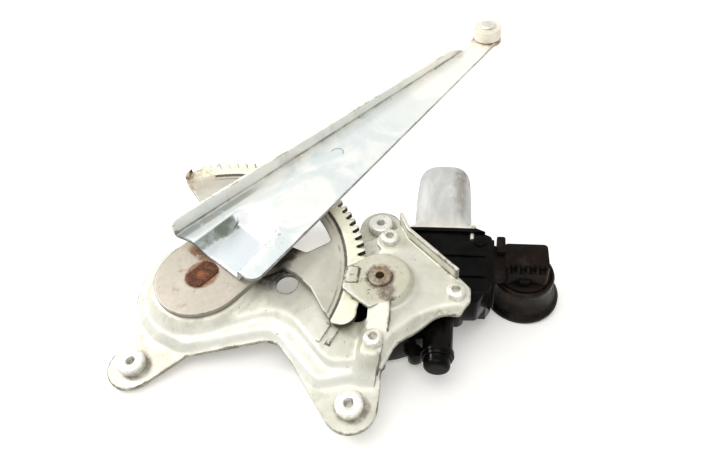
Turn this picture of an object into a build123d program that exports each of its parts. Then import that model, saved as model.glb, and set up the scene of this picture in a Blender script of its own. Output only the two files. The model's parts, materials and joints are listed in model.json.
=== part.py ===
"""Sector-gear window regulator for a side door, with its electric drive.

Frame: +Z points from the cabin to the glass, +X runs from the arm pivot to the
pinion, and the origin is the left mounting nut's axis on the plate's seating face.
All lengths are millimetres and all angles degrees. Plan positions are measured
from the arm pivot; positions on the arm run along it (u) and to its left (v).
"""
import os
from math import acos, atan2, cos, degrees, hypot, pi, radians, sin, sqrt, tan

from build123d import *

os.makedirs("parts", exist_ok=True)

# --- stamped plate -----------------------------------------------------------
sheet = 2.0                    # thickness of the zinc plated sheet
seat_top = sheet               # top of the mounting lugs
ledge_top = 6.5                # outer ledge of the pressing
web_top = 10.0                 # main web
boss_top = 12.7                # pad round the arm pivot
deck_top = 15.0                # deck that carries the gearbox
cover_top = 20.5               # bridge over the pinion
draft = 45.0                   # slope of the pressed steps
steep = 10.0                   # slope of the deep drawn walls

pivot = (27.0, 53.5)           # arm pivot, from the left mounting nut
nut_left = (-27.0, -53.5)      # mounting nuts, from the pivot
nut_front = (95.5, -68.5)
nut_back = (99.0, 53.0)
lug_r = 14.5
lug_front_r = 14.0
lug_back_r = 13.0
outline_r = 43.0               # plate edge round the pivot
ledge_r = 38.0
web_r = 33.0
boss_r = 30.0
lightening_at = 50.0           # round hole between the pivot and the pinion
lightening_r = 6.5
cover_r = 17.3                 # dome over the pinion
bridge_width = 11.5            # ramp from the cover down to the front screw
bridge_at = 106.2
flange_rise = 8.0              # height of the upturned edge over the deck
dimple_r = 7.8                 # raised pad under the back screw
dimple_rise = 1.2
bead_rise = 0.9                # stiffening beads
rim_clear = 2.1                # room round the toothed rim as it passes under the cover

# --- fasteners -----------------------------------------------------------------
nut_r = 7.3
nut_rise = 5.0                 # clinch nut over the lug
nut_spigot_r = 4.6
thread_core_r = 2.5            # M6 thread
screw_r = 2.9                  # gearbox screws, M6
screw_clear = 0.4
screw_head_r = 5.35
screw_head = 4.0
screw_tip = 4.7                # height of the screws' ends
motor_screws_at = ((107.5, 31.0), (146.5, -5.0), (105.0, -37.0))
small_screw_r = 1.5
small_head_r = 2.7
small_head = 1.8

# --- gear train --------------------------------------------------------------
module = 2.0
sector_teeth = 95              # teeth on a full circle of the sector
pinion_teeth = 10
pressure_angle = 20.0
shift = 0.4                    # profile shift of the pinion, taken from the sector
backlash = 0.16
root_gap = 0.25
first_tooth = -3               # teeth of the sector, counted from the centre line
last_tooth = 27
pinion_face = 6.7
pinion_top = 18.2
journal_r = 6.5                # pinion's upper journal, in the cover's bore
journal_end = 22.0
pinion_shaft_r = 5.0
pinion_flat = 4.0              # half distance over the flats that drive the wheel
running = 0.05                 # radial clearance of a shaft in its bearing

worm_module = 1.25
wheel_teeth = 44
worm_pitch_r = 5.0
worm_tooth = 1.2               # axial thickness of the thread at the pitch line
worm_turns = 6                 # turns of its thread
wheel_face = 10.0
axis_height = -3.0             # worm and motor axis
thread_gap = 0.35

# --- sector, arm and pivot -------------------------------------------------------
sector_sheet = 3.0
sector_top = 16.0              # glass side of the sector plate
rim_step = 1.0                 # the toothed rim stands this much higher
rim_inner_r = 85.0
hub_r = 28.5                   # sector's hub
window_r = 78.0
arm_angle = 54.8               # from +X, at rest
arm_sheet = 2.0
arm_floor = sector_top + 11.0  # glass side of the arm's floor
arm_reach = 287.7              # pivot to roller
arm_tip_r = 11.0
arm_flange = 10.5              # upstand along the arm at its root
arm_flange_tip = 6.6
shaft_r = 9.5                  # pivot shaft
shaft_flat = 6.8               # half width of its flats, in the sector
shaft_proud = 0.6
bush_wall = 2.0
bush_low = 4.5                 # lower end of the pivot bush
clip_thick = 1.2
spring_strip = 1.5
spring_pitch = 3.2
spring_low = -9.0
spring_wide = 9.0
coils = 11                     # half turns
anchor_angle = 150.0           # plate lug that holds the spring's outer end
anchor_wide = 6.0
roller_r = 10.5
roller_low = 28.0
roller_wide = 9.0
pin_r = 4.0

# --- gearbox and motor -----------------------------------------------------------
wall = 3.7
drum_top = 7.5
drum_low = -13.0
roof = 4.0
lid_sheet = 2.0
tube_r = 8.2                   # tube round the worm
tube_end = -42.0
block_top = 11.0               # brush and connector block
block_low = -19.0
motor_face = 46.5              # where the can meets the housing
can_r = 17.7
can_flat = 14.0
can_wall = 1.5
can_length = 60.0
flare = 3.3                    # the can widens by this much towards its flange
flare_length = 11.0
motor_shaft_r = 2.5
core_r = 12.0
air_gap = 0.6
slots = 10
bell_at = (187.0, 32.0)
bell_r = 21.0
bell_low = -33.0

sector_pitch_r = module * sector_teeth / 2
pinion_pitch_r = module * pinion_teeth / 2
centre_distance = sector_pitch_r + pinion_pitch_r
sector_tip_r = sector_pitch_r + module * (1 - shift)
sector_root_r = sector_pitch_r - module * (1 + root_gap + shift)
pinion_tip_r = pinion_pitch_r + module * (1 + shift)
pinion_root_r = pinion_pitch_r - module * (1 + root_gap - shift)
wheel_pitch_r = worm_module * wheel_teeth / 2
worm_at = centre_distance + wheel_pitch_r + worm_pitch_r
worm_lead = pi * worm_module
worm_length = worm_turns * worm_lead
worm_tip_r = worm_pitch_r + worm_module
worm_root_r = worm_pitch_r - worm_module * 1.12
pinion_at = (centre_distance, 0.0)
anchor_r = outline_r - sheet / 2


def level(height, x=0.0, y=0.0):
    """Horizontal plane at a height, with its origin at the arm pivot."""
    return Plane(origin=(pivot[0] + x, pivot[1] + y, height))


def arm_level(height):
    """Horizontal plane at the pivot whose X runs along the arm."""
    a = radians(arm_angle)
    return Plane(origin=(*pivot, height), x_dir=(cos(a), sin(a), 0), z_dir=(0, 0, 1))


def motor_plane(y):
    """Plane square to the motor's axis; its Y is up and its X is towards the pivot."""
    return Plane(origin=(pivot[0] + worm_at, pivot[1] + y, axis_height), x_dir=(-1, 0, 0), z_dir=(0, 1, 0))


def tangent_point(centre, radius, point, side):
    """Where a line from a point touches a circle, on its left (1) or right (-1)."""
    dx, dy = point[0] - centre[0], point[1] - centre[1]
    turn = atan2(dy, dx) + side * acos(radius / hypot(dx, dy))
    return centre[0] + radius * cos(turn), centre[1] + radius * sin(turn)


def polar(radius, angle):
    """Point at a radius and an angle in degrees."""
    return radius * cos(radians(angle)), radius * sin(radians(angle))


def closed(points, radii):
    """Closed outline through points, its corners rounded."""
    with BuildSketch() as shape:
        with BuildLine():
            FilletPolyline(*points, radius=radii, close=True)
        make_face()
    return shape.sketch


def lug(centre, radius, left, right, inner):
    """Rounded lug: tangents run from its circle to points on the plate, counterclockwise first."""
    a = tangent_point(centre, radius, left, 1)
    b = tangent_point(centre, radius, right, -1)
    with BuildSketch() as shape:
        with Locations(centre):
            Circle(radius)
        with BuildLine():
            Polyline(left, a, centre, b, right, inner, close=True)
        make_face()
    return shape.sketch


def half_tooth(teeth, profile_shift, radius):
    """Half angle, in degrees, that an involute tooth fills at a radius."""
    alpha = radians(pressure_angle)
    at = acos(module * teeth * cos(alpha) / 2 / radius)
    thick = module * (pi / 2 + 2 * profile_shift * tan(alpha)) - backlash / 2
    return degrees(thick / (module * teeth) + tan(alpha) - alpha - tan(at) + at)


def flank(teeth, profile_shift, centre, side, low, high):
    """One flank of a tooth, from its low radius to its high one, as an arc."""
    radii = (low, (low + high) / 2, high)
    return ThreePointArc(*(polar(r, centre + side * half_tooth(teeth, profile_shift, r)) for r in radii))


# --- base plate ----------------------------------------------------------------
flange_path = [(113.1, 46.5), (118.6, 34.1), (147.3, 5.0)]
outline = closed(
    [(0, 38), (44, 25), (78, 31), (90, 46), (114, 48), (119.4, 34.6), (149.5, 4.2),
     (154.5, -1.5), (154.5, -9), (149, -16), (137.5, -17.5), (116.2, -36.5),
     (109.5, -50), (109.5, -68), (81.5, -68), (47.5, -32), (0.6, -46), (-20, -34)],
    [0, 20, 12, 4, 2, 10, 3, 3, 3, 2, 18, 14, 6, 0, 0, 14, 0, 0])
ledge = closed(
    [(0, 34), (44, 21), (78, 27), (96, 41), (106, 41), (106, -50), (90, -53), (76, -57),
     (46.5, -26.5), (18, -35), (0, -41), (-18, -34)],
    [0, 20, 12, 4, 2, 4, 6, 6, 12, 12, 0, 0])
web = closed(
    [(0, 28), (44, 17), (80, 23), (98, 38), (103, 38), (103, -46), (80, -47.5),
     (54, -18.5), (40, -18.5), (26, -24), (0, -29)],
    [0, 20, 12, 4, 2, 8, 9, 9, 8, 8, 0])
deck = closed(
    [(103, 40), (107, 47), (116.6, 47), (119, 38), (149.5, 6), (154, 2), (154, -8), (149, -12.2),
     (138.6, -13.2), (126, -20), (116, -29.2), (110.5, -38), (109, -45), (98, -45), (101.5, -24), (101.5, 0)],
    [0, 2, 2, 8, 0, 2, 2, 2, 14, 14, 14, 3, 2.5, 3, 3, 0])
recess = closed([(74, 40), (106.5, 40), (111, 46), (111, 74), (74, 74)], [0, 6, 3, 0, 0])
cover_wing = closed([(105, 17.3), (85, 6.2), (85, -8.6), (101, -20.6), (112, -14)], [0, 2.5, 2.5, 2, 0])
slot = closed([(90, -8), (91.5, -23.5), (99.5, -23.5), (101.5, -10)], [0, 2, 2, 0])
beads = [((79, -25.5), (74.5, -37)), ((84.5, -27.5), (80, -38.5))]

with BuildSketch() as blank:
    add(outline)
    Circle(outline_r)
    add(lug(nut_left, lug_r, (-33, -28), (0.6, -46), (-10, -30)))
    add(lug(nut_front, lug_front_r, (61, -46.3), (109.5, -50), (90, -45)))
    add(lug(nut_back, lug_back_r, (112, 44), (84, 38), (98, 36)))


def pressing(drop):
    """Solid under the skin of the pressed plate; the drop gives the skin's lower face."""
    with BuildPart() as form:
        for region, radius, top in (
            (ledge, ledge_r, ledge_top), (web, web_r, web_top), (None, boss_r, boss_top), (deck, 0, deck_top)
        ):
            with BuildSketch(level(top - drop)):
                if region:
                    add(region)
                if radius:
                    Circle(radius)
            extrude(amount=drop - top - sheet, taper=-draft)
        with BuildSketch(level(seat_top - drop)):
            add(recess)
            if drop:
                offset(amount=sheet)
        extrude(amount=deck_top + sheet, taper=-steep, mode=Mode.SUBTRACT)
    return form.part


def cover_form(drop, foot):
    """Solid under the pinion cover and its ramp, down to a foot height."""
    top = cover_top - drop
    with BuildPart() as form:
        with BuildSketch(level(top, *pinion_at)):
            Circle(cover_r - drop)
        extrude(amount=foot - top, taper=-steep)
        with BuildSketch(Plane(origin=(pivot[0] + bridge_at, pivot[1], 0), x_dir=(0, 1, 0), z_dir=(1, 0, 0))):
            with BuildLine():
                Polyline((0, foot), (0, top), (0.4 * drop - cover_r, top),
                         (drop - 31, deck_top - drop), (drop - 31, min(foot, deck_top - drop)), close=True)
            make_face()
        extrude(amount=bridge_width / 2 - drop, both=True)
    return form.part


def bead_form(height, width):
    """Embossed beads and the cover's end pad, as solids that rise from a height by the bead."""
    with BuildPart() as form:
        with BuildSketch(level(height)):
            with BuildLine():
                for a, b in beads:
                    Line(a, b)
            trace(line_width=width)
        extrude(amount=bead_rise)
        with BuildSketch(level(height + cover_top - web_top)):
            with Locations((89.5, 0.5)):
                RectangleRounded(width + 4.4, width + 8.4, 1)
        extrude(amount=bead_rise)
    return form.part


with BuildPart() as base_plate:
    with BuildSketch(level(0)):
        add(blank.sketch)
    extrude(amount=sheet)
    with BuildSketch(level(0)):
        add(blank.sketch)
    column = extrude(amount=cover_top, mode=Mode.PRIVATE)
    add(pressing(0) & column)
    with Locations(level(deck_top)):
        with Locations(motor_screws_at[0]):
            Cone(dimple_r + dimple_rise, dimple_r, dimple_rise, align=(Align.CENTER, Align.CENTER, Align.MIN))
    add(pressing(sheet), mode=Mode.SUBTRACT)
    with Locations(level(deck_top - sheet)):
        with Locations(motor_screws_at[0]):
            Cone(dimple_r, dimple_r - dimple_rise, dimple_rise,
                 align=(Align.CENTER, Align.CENTER, Align.MIN), mode=Mode.SUBTRACT)
    add(cover_form(0, deck_top - sheet))
    with BuildSketch(level(cover_top)):
        add(cover_wing)
    extrude(amount=-sheet)
    add(cover_form(sheet, -sheet), mode=Mode.SUBTRACT)
    with BuildSketch(level(web_top - 2 * sheet)):
        add(slot)
    extrude(amount=deck_top - web_top + 2 * sheet, mode=Mode.SUBTRACT)
    with BuildSketch(level(cover_top - sheet)):
        with BuildLine():
            rim = ThreePointArc((0, -sector_tip_r - rim_clear), (sector_tip_r + rim_clear, 0),
                                (0, sector_tip_r + rim_clear))
            Polyline(rim @ 1, (60, 40), (60, -40), rim @ 0)
        make_face()
    extrude(amount=-(cover_top - sheet - web_top - rim_clear), mode=Mode.SUBTRACT)
    add(bead_form(web_top, 2.6))
    add(bead_form(web_top - sheet, 1.6), mode=Mode.SUBTRACT)
    with BuildSketch(level(deck_top - sheet)):
        with BuildLine():
            FilletPolyline(*flange_path, radius=9)
        trace(line_width=sheet)
    extrude(amount=flange_rise + sheet)
    with BuildSketch(level(-sheet)):
        with Locations(nut_left, nut_front, nut_back):
            Circle(nut_spigot_r)
        with Locations(*motor_screws_at):
            Circle(screw_r + screw_clear)
        Circle(shaft_r + running + bush_wall)
        with Locations((lightening_at, 0)):
            Circle(lightening_r)
    extrude(amount=cover_top + 2 * sheet, mode=Mode.SUBTRACT)
    with BuildSketch(level(cover_top - 2 * sheet, *pinion_at)):
        Circle(journal_r + running)
    extrude(amount=3 * sheet, mode=Mode.SUBTRACT)
    # lug bent down to hold the spring's outer end
    with BuildSketch(level(spring_low - 0.5)):
        with Locations(Location(polar(anchor_r, anchor_angle), anchor_angle)):
            Rectangle(sheet, anchor_wide)
    extrude(amount=seat_top - spring_low + 0.5)
base_plate.part.label = "base_plate"
export_step(base_plate.part, "parts/base_plate.step")

with BuildPart() as mount_nuts:
    for at in (nut_left, nut_front, nut_back):
        with BuildSketch(level(0, *at)):
            Circle(nut_spigot_r)
        extrude(amount=seat_top)
        with BuildSketch(level(seat_top, *at)):
            Circle(nut_r)
        extrude(amount=nut_rise)
    chamfer(mount_nuts.faces().group_by(Axis.Z)[-1].edges(), length=0.9)
    with BuildSketch(level(-sheet)):
        with Locations(nut_left, nut_front, nut_back):
            Circle(thread_core_r)
    extrude(amount=nut_rise + 3 * sheet, mode=Mode.SUBTRACT)
mount_nuts.part.label = "mount_nuts"
export_step(mount_nuts.part, "parts/mount_nuts.step")

# --- pivot -----------------------------------------------------------------------
first_coil_r = shaft_r + 1.6
last_coil_r = first_coil_r + (coils - 1) * spring_pitch / 2
hook_r = anchor_r + sheet / 2 + 0.8 + spring_strip / 2
start = anchor_angle - degrees(acos(last_coil_r / hook_r)) - 9
spring_plane = Plane(origin=(*pivot, spring_low), x_dir=(*polar(1, start), 0), z_dir=(0, 0, 1))
sector_low = sector_top - sector_sheet
bush_r = shaft_r + running + bush_wall
with BuildPart() as pivot_bush:
    with BuildSketch(Plane(origin=(*pivot, 0), x_dir=(1, 0, 0), z_dir=(0, -1, 0))):
        with BuildLine():
            Polyline((shaft_r + running, bush_low), (bush_r + 3, bush_low), (bush_r + 3, boss_top - sheet),
                     (bush_r, boss_top - sheet), (bush_r, sector_low - 0.15),
                     (shaft_r + running, sector_low - 0.15), close=True)
        make_face()
    revolve(axis=Axis((*pivot, 0), (0, 0, 1)))
pivot_bush.part.label = "pivot_bush"
export_step(pivot_bush.part, "parts/pivot_bush.step")

groove_r = shaft_r - 1.5
groove_top = bush_low - 0.1
groove_low = groove_top - clip_thick - 0.1
shaft_low = spring_low - 0.5
with BuildPart() as pivot_shaft:
    with BuildSketch(level(shaft_low)):
        Circle(groove_r)
    extrude(amount=sector_low - shaft_low)
    with BuildSketch(level(groove_low - 2)):
        Circle(shaft_r)
    extrude(amount=2)
    with BuildSketch(level(groove_top)):
        Circle(shaft_r)
    extrude(amount=sector_low - groove_top)
    with BuildSketch(arm_level(sector_low)):
        Circle(shaft_r)
        Rectangle(2 * shaft_r, 2 * shaft_flat, mode=Mode.INTERSECT)
    extrude(amount=sector_sheet + shaft_proud)
    chamfer(pivot_shaft.faces().sort_by(Axis.Z)[-1].edges(), length=0.4)
    with BuildSketch(spring_plane.offset(shaft_low - spring_low)):
        Rectangle(4 * shaft_r, spring_strip + 0.3)
    extrude(amount=spring_wide + 0.7, mode=Mode.SUBTRACT)
pivot_shaft.part.label = "pivot_shaft"
export_step(pivot_shaft.part, "parts/pivot_shaft.step")

with BuildPart() as pivot_clip:
    with BuildSketch(level(groove_low + 0.05)):
        Circle(shaft_r + 2.4)
        Circle(groove_r + 0.02, mode=Mode.SUBTRACT)
        with Locations((0, -shaft_r)):
            Rectangle(6, 2 * shaft_r, mode=Mode.SUBTRACT)
    extrude(amount=clip_thick)
    fillet(pivot_clip.edges().filter_by(Axis.Z).group_by(Axis.Y)[0], radius=0.8)
pivot_clip.part.label = "pivot_clip"
export_step(pivot_clip.part, "parts/pivot_clip.step")

# --- balance spring ------------------------------------------------------------
def from_start(radius, angle):
    """Point in the plane whose X runs through the ends of the half turns."""
    return polar(radius, angle - start)


with BuildPart() as assist_spring:
    with BuildSketch(spring_plane):
        with BuildLine():
            for n in range(coils):
                r = first_coil_r + n * spring_pitch / 2
                side = 1 if n % 2 == (coils - 1) % 2 else -1
                x = 0 if side == 1 else -spring_pitch / 2
                ThreePointArc((x - side * r, 0), (x, -side * r), (x + side * r, 0))
            FilletPolyline((last_coil_r, 0), from_start(hook_r, anchor_angle - 9),
                           from_start(hook_r + 0.3, anchor_angle + 5.9),
                           from_start(anchor_r - 4, anchor_angle + 6.4), radius=[6, 1.2])
            Line((-first_coil_r, 0), (-shaft_r * 0.35, 0))
        trace(line_width=spring_strip)
    extrude(amount=spring_wide)
assist_spring.part.label = "assist_spring"
export_step(assist_spring.part, "parts/assist_spring.step")

# --- sector gear -----------------------------------------------------------------
tooth_step = 360 / sector_teeth
rim_low = sector_low + rim_step
rim_corner = [(35.0, -42.6), (33.1, -57.4), (26.9, -72.8), (23.6, -83.7)]
rim_far_corner = [(34, 34), (36.4, 49.0), (42.2, 73.8), (46.5, 78.1)]

with BuildSketch() as sector_outline:
    with BuildLine():
        edge = tangent_point((0, 0), hub_r, (22.4, -28.3), -1)
        other = tangent_point((0, 0), hub_r, (22.4, 28.3), 1)
        first = (first_tooth + 0.5) * tooth_step - arm_angle
        count = last_tooth - first_tooth
        corner = polar(sector_tip_r, -12 - arm_angle)
        tip = half_tooth(sector_teeth, -shift, sector_tip_r)
        root = half_tooth(sector_teeth, -shift, sector_root_r)
        Polyline(edge, (22.4, -28.3), (33.6, -33.8), *rim_corner)
        ThreePointArc(rim_corner[-1], (28.2, -90.4), corner)
        ThreePointArc(corner, polar(sector_tip_r, first - 1.2), polar(sector_tip_r, first + tip))
        for n in range(count):
            at = first + n * tooth_step
            flank(sector_teeth, -shift, at, 1, sector_root_r, sector_tip_r)
            ThreePointArc(*(polar(sector_root_r, at + turn) for turn in (root, tooth_step / 2, tooth_step - root)))
            flank(sector_teeth, -shift, at + tooth_step, -1, sector_root_r, sector_tip_r)
            if n < count - 1:
                ThreePointArc(*(polar(sector_tip_r, at + tooth_step + turn) for turn in (-tip, 0, tip)))
        last = first + count * tooth_step
        far = polar(sector_tip_r, 113.5 - arm_angle)
        ThreePointArc(polar(sector_tip_r, last - tip), polar(sector_tip_r, last + 3), far)
        Polyline(far, *reversed(rim_far_corner), (33.6, 33.8), (22.4, 28.3), other)
        ThreePointArc(other, (-hub_r, 0), edge)
    make_face()

with BuildSketch() as windows:
    with BuildLine():
        Polyline((49.9, -14.1), (46.7, -24.6), (49.5, -37.3), (72, -45), (85, -14.1), close=True)
    make_face()
    Circle(window_r, mode=Mode.INTERSECT)
    fillet(windows.vertices(), radius=3)
    mirror(about=Plane.XZ)

with BuildPart() as sector_gear:
    with BuildSketch(Plane(origin=(*pivot, 0), x_dir=(1, 0, 0), z_dir=(0, -1, 0))):
        with BuildLine():
            Polyline((0, sector_low), (rim_inner_r - rim_step / 2, sector_low), (rim_inner_r + rim_step / 2, rim_low),
                     (sector_tip_r + 6, rim_low), (sector_tip_r + 6, rim_low + sector_sheet),
                     (rim_inner_r + rim_step / 2, rim_low + sector_sheet),
                     (rim_inner_r - rim_step / 2, sector_top), (0, sector_top), close=True)
        make_face()
    revolve(axis=Axis((*pivot, 0), (0, 0, 1)))
    with BuildSketch(arm_level(sector_low)):
        add(sector_outline.sketch)
    extrude(amount=sector_sheet + rim_step, mode=Mode.INTERSECT)
    with BuildSketch(arm_level(sector_low - 1)):
        add(windows.sketch)
    extrude(amount=sector_sheet + 2, mode=Mode.SUBTRACT)
    with BuildSketch(arm_level(sector_low - 1)):
        Circle(shaft_r + 0.01)
        Rectangle(2 * shaft_r + 1, 2 * shaft_flat + 0.02, mode=Mode.INTERSECT)
    extrude(amount=sector_sheet + 2, mode=Mode.SUBTRACT)
    with BuildSketch(arm_level(rim_low)):
        with Locations((47.0, 76.8)):
            Rectangle(sector_sheet, 9, rotation=-43)
    extrude(amount=sector_sheet + 3)
sector_gear.part.label = "sector_gear"
export_step(sector_gear.part, "parts/sector_gear.step")

# --- lift arm ----------------------------------------------------------------------
fold_root = 28.1               # fold of the flange: distance left of the axis at the pivot
fold_slope = 0.0896
cut_root = 39.0                # cut edge on the other side
cut_slope = 0.103
arm_end = 10.5
flange_from = 5.0
flange_to = arm_reach - 25.7   # the flange ends short of the roller
arm_low = arm_floor - arm_sheet


def fold(u):
    """Point of the fold line."""
    return u, fold_root - fold_slope * u


with BuildSketch() as arm_plan:
    with BuildLine():
        FilletPolyline((arm_end, 0), (8, 16), (flange_from, fold(flange_from)[1]), fold(flange_to),
                       (arm_reach - 6, arm_tip_r - 1.9), (arm_reach, 0), (arm_reach, cut_slope * arm_reach - cut_root),
                       (arm_end, cut_slope * arm_end - cut_root), radius=[0, 0, 0, 30, 0, 0, 0, 7], close=True)
    make_face()
    with Locations((arm_reach, 0)):
        Circle(arm_tip_r)


def pocket(height, grow):
    """Dished seat of the arm on the sector, open at the arm's end."""
    with BuildPart() as form:
        with BuildSketch(arm_level(sector_top + height)):
            with BuildLine():
                Polyline((0, 0), (38.5, 12), (39.6, 9), (39.6, -12), (30, -19), (0, -21), close=True)
            make_face()
            if grow:
                offset(amount=grow, kind=Kind.INTERSECTION)
        with BuildSketch(arm_level(arm_low + height)):
            with BuildLine():
                Polyline((0, 16), (44, 13.5), (50, 6), (52, -8), (46, -19), (0, -25.5), close=True)
            make_face()
            if grow:
                offset(amount=grow, kind=Kind.INTERSECTION)
        loft(ruled=True)
    return form.part


arm_frame = arm_level(arm_low)
fold_from = arm_frame.from_local_coords(Vector(*fold(flange_from), 0))
fold_to = arm_frame.from_local_coords(Vector(*fold(flange_to), 0))
along = fold_to - fold_from
with BuildPart() as upstand:
    with BuildSketch(Plane(origin=fold_from, x_dir=along, z_dir=along.cross(Vector(0, 0, 1)))):
        with BuildLine():
            FilletPolyline((0, 0), (along.length, 0), (along.length, arm_sheet + 1),
                           (along.length - 14, arm_sheet + arm_flange_tip), (0, arm_sheet + arm_flange),
                           radius=[0, 0, 2, 20, 5], close=True)
        make_face()
    extrude(amount=-arm_sheet)
    outer = arm_frame.from_local_coords(Vector(130, fold(130)[1] + arm_sheet, 0))
    fillet(upstand.edges().sort_by_distance(outer)[0], radius=0.9 * arm_sheet)

with BuildPart() as lift_arm:
    with BuildSketch(arm_frame):
        add(arm_plan.sketch)
    extrude(amount=arm_sheet)
    add(upstand.part)
    add(pocket(0, 1.2))
    add(pocket(arm_sheet, 0), mode=Mode.SUBTRACT)
    with BuildSketch(arm_level(sector_top - 1)):
        with BuildLine():
            Polyline((arm_end, 0), (8, 16), (flange_from, 27), (-10, 27), (-10, -40), (arm_end, -40), close=True)
        make_face()
        with Locations((arm_reach, 0)):
            Circle(pin_r)
    extrude(amount=arm_floor - sector_top + 2, mode=Mode.SUBTRACT)
lift_arm.part.label = "lift_arm"
export_step(lift_arm.part, "parts/lift_arm.step")

with BuildPart() as roller_pin:
    with BuildSketch(arm_level(arm_low - 1.4)):
        with Locations((arm_reach, 0)):
            Circle(pin_r + 2)
    extrude(amount=1.4)
    with BuildSketch(arm_level(arm_low)):
        with Locations((arm_reach, 0)):
            Circle(pin_r)
    extrude(amount=roller_low + roller_wide + 0.3 - arm_low)
    with BuildSketch(arm_level(arm_floor)):
        with Locations((arm_reach, 0)):
            Circle(pin_r + 3.5)
    extrude(amount=roller_low - arm_floor - 0.3)
    with BuildSketch(arm_level(roller_low + roller_wide + 0.3)):
        with Locations((arm_reach, 0)):
            Circle(pin_r + 1.6)
    extrude(amount=1.6)
    fillet(roller_pin.edges().filter_by(GeomType.CIRCLE).group_by(Axis.Z)[-1], radius=0.9)
    fillet(roller_pin.edges().filter_by(GeomType.CIRCLE).group_by(Axis.Z)[0], radius=0.9)
roller_pin.part.label = "roller_pin"
export_step(roller_pin.part, "parts/roller_pin.step")

with BuildPart() as glass_roller:
    with BuildSketch(arm_level(roller_low)):
        with Locations((arm_reach, 0)):
            Circle(roller_r)
    extrude(amount=roller_wide)
    fillet(glass_roller.edges(), radius=1.0)
    with BuildSketch(arm_level(roller_low)):
        with Locations((arm_reach, 0)):
            Circle(pin_r + running)
    extrude(amount=roller_wide, mode=Mode.SUBTRACT)
glass_roller.part.label = "glass_roller"
export_step(glass_roller.part, "parts/glass_roller.step")

# --- output shaft ------------------------------------------------------------------
with BuildSketch() as pinion_profile:
    with BuildLine():
        pitch = 360 / pinion_teeth
        inner = module * pinion_teeth / 2 * cos(radians(pressure_angle)) + 0.02
        tip = half_tooth(pinion_teeth, shift, pinion_tip_r)
        root = half_tooth(pinion_teeth, shift, inner)
        for n in range(pinion_teeth):
            at = 180 + n * pitch
            Line(polar(pinion_root_r, at - root), polar(inner, at - root))
            flank(pinion_teeth, shift, at, -1, inner, pinion_tip_r)
            ThreePointArc(*(polar(pinion_tip_r, at + turn) for turn in (-tip, 0, tip)))
            flank(pinion_teeth, shift, at, 1, inner, pinion_tip_r)
            Line(polar(inner, at + root), polar(pinion_root_r, at + root))
            ThreePointArc(*(polar(pinion_root_r, at + turn) for turn in (root, pitch / 2, pitch - root)))
    make_face()

wheel_low = axis_height - wheel_face / 2
wheel_top = axis_height + wheel_face / 2
with BuildPart() as output_pinion:
    with BuildSketch(level(pinion_top - pinion_face, *pinion_at)):
        add(pinion_profile.sketch)
    extrude(amount=pinion_face)
    with BuildSketch(level(pinion_top, *pinion_at)):
        Circle(journal_r)
    extrude(amount=journal_end - pinion_top)
    chamfer(output_pinion.edges().filter_by(GeomType.CIRCLE).group_by(Axis.Z)[-1], length=0.5)
    with BuildSketch(level(journal_end, *pinion_at)):
        Circle(2.5)
    extrude(amount=-8, mode=Mode.SUBTRACT)
    with BuildSketch(level(wheel_top, *pinion_at)):
        Circle(pinion_shaft_r)
    extrude(amount=pinion_top - pinion_face - wheel_top)
    with BuildSketch(level(wheel_low - 0.5, *pinion_at)):
        Circle(pinion_shaft_r)
        Rectangle(2 * pinion_shaft_r, 2 * pinion_flat, mode=Mode.INTERSECT)
    extrude(amount=wheel_face + 0.5)
    with BuildSketch(level(drum_low - lid_sheet, *pinion_at)):
        Circle(pinion_flat - 0.5)
    extrude(amount=wheel_low - 0.5 - drum_low + lid_sheet)
output_pinion.part.label = "output_pinion"
export_step(output_pinion.part, "parts/output_pinion.step")

wheel_tip_r = wheel_pitch_r + worm_module * 0.8
wheel_root_r = wheel_pitch_r - worm_module - thread_gap
wheel_tooth = worm_lead - worm_tooth - 2 * thread_gap
helix_turn = degrees(worm_lead / (2 * pi * worm_pitch_r) * wheel_face / wheel_pitch_r)


def wheel_profile(turn):
    """Toothed outline of the worm wheel, turned by an angle."""
    step = 360 / wheel_teeth
    half_tip = degrees((wheel_tooth / 2 - worm_module * 0.8 * tan(radians(pressure_angle))) / wheel_tip_r)
    half_root = degrees((wheel_tooth / 2 + (worm_module + thread_gap) * tan(radians(pressure_angle))) / wheel_root_r)
    points = []
    for n in range(wheel_teeth):
        at = (n + 0.5) * step + turn
        points += [polar(wheel_root_r, at - half_root), polar(wheel_tip_r, at - half_tip),
                   polar(wheel_tip_r, at + half_tip), polar(wheel_root_r, at + half_root)]
    with BuildSketch() as shape:
        with BuildLine():
            Polyline(*points, close=True)
        make_face()
    return shape.sketch


with BuildPart() as worm_wheel:
    for height, turn in ((wheel_low, -helix_turn / 2), (wheel_top, helix_turn / 2)):
        with BuildSketch(level(height, *pinion_at)):
            add(wheel_profile(turn))
    loft(ruled=True)
    for height, amount in ((wheel_top, -3), (wheel_low, 3)):
        with BuildSketch(level(height, *pinion_at)):
            Circle(wheel_root_r - 3)
            Circle(9, mode=Mode.SUBTRACT)
        extrude(amount=amount, mode=Mode.SUBTRACT)
    with BuildSketch(level(drum_low + 0.3, *pinion_at)):
        Circle(8)
    extrude(amount=wheel_low - drum_low - 0.3)
    with BuildSketch(level(wheel_top, *pinion_at)):
        Circle(8)
    extrude(amount=drum_top - roof - 0.3 - wheel_top)
    with BuildSketch(level(wheel_low, *pinion_at)):
        Circle(pinion_shaft_r)
        Rectangle(2 * pinion_shaft_r, 2 * pinion_flat, mode=Mode.INTERSECT)
    extrude(amount=wheel_face, mode=Mode.SUBTRACT)
    with BuildSketch(level(wheel_top, *pinion_at)):
        Circle(pinion_shaft_r)
    extrude(amount=wheel_face, mode=Mode.SUBTRACT)
    with BuildSketch(level(wheel_low, *pinion_at)):
        Circle(pinion_shaft_r)
    extrude(amount=-wheel_face, mode=Mode.SUBTRACT)
worm_wheel.part.label = "worm_wheel"
export_step(worm_wheel.part, "parts/worm_wheel.step")

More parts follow.
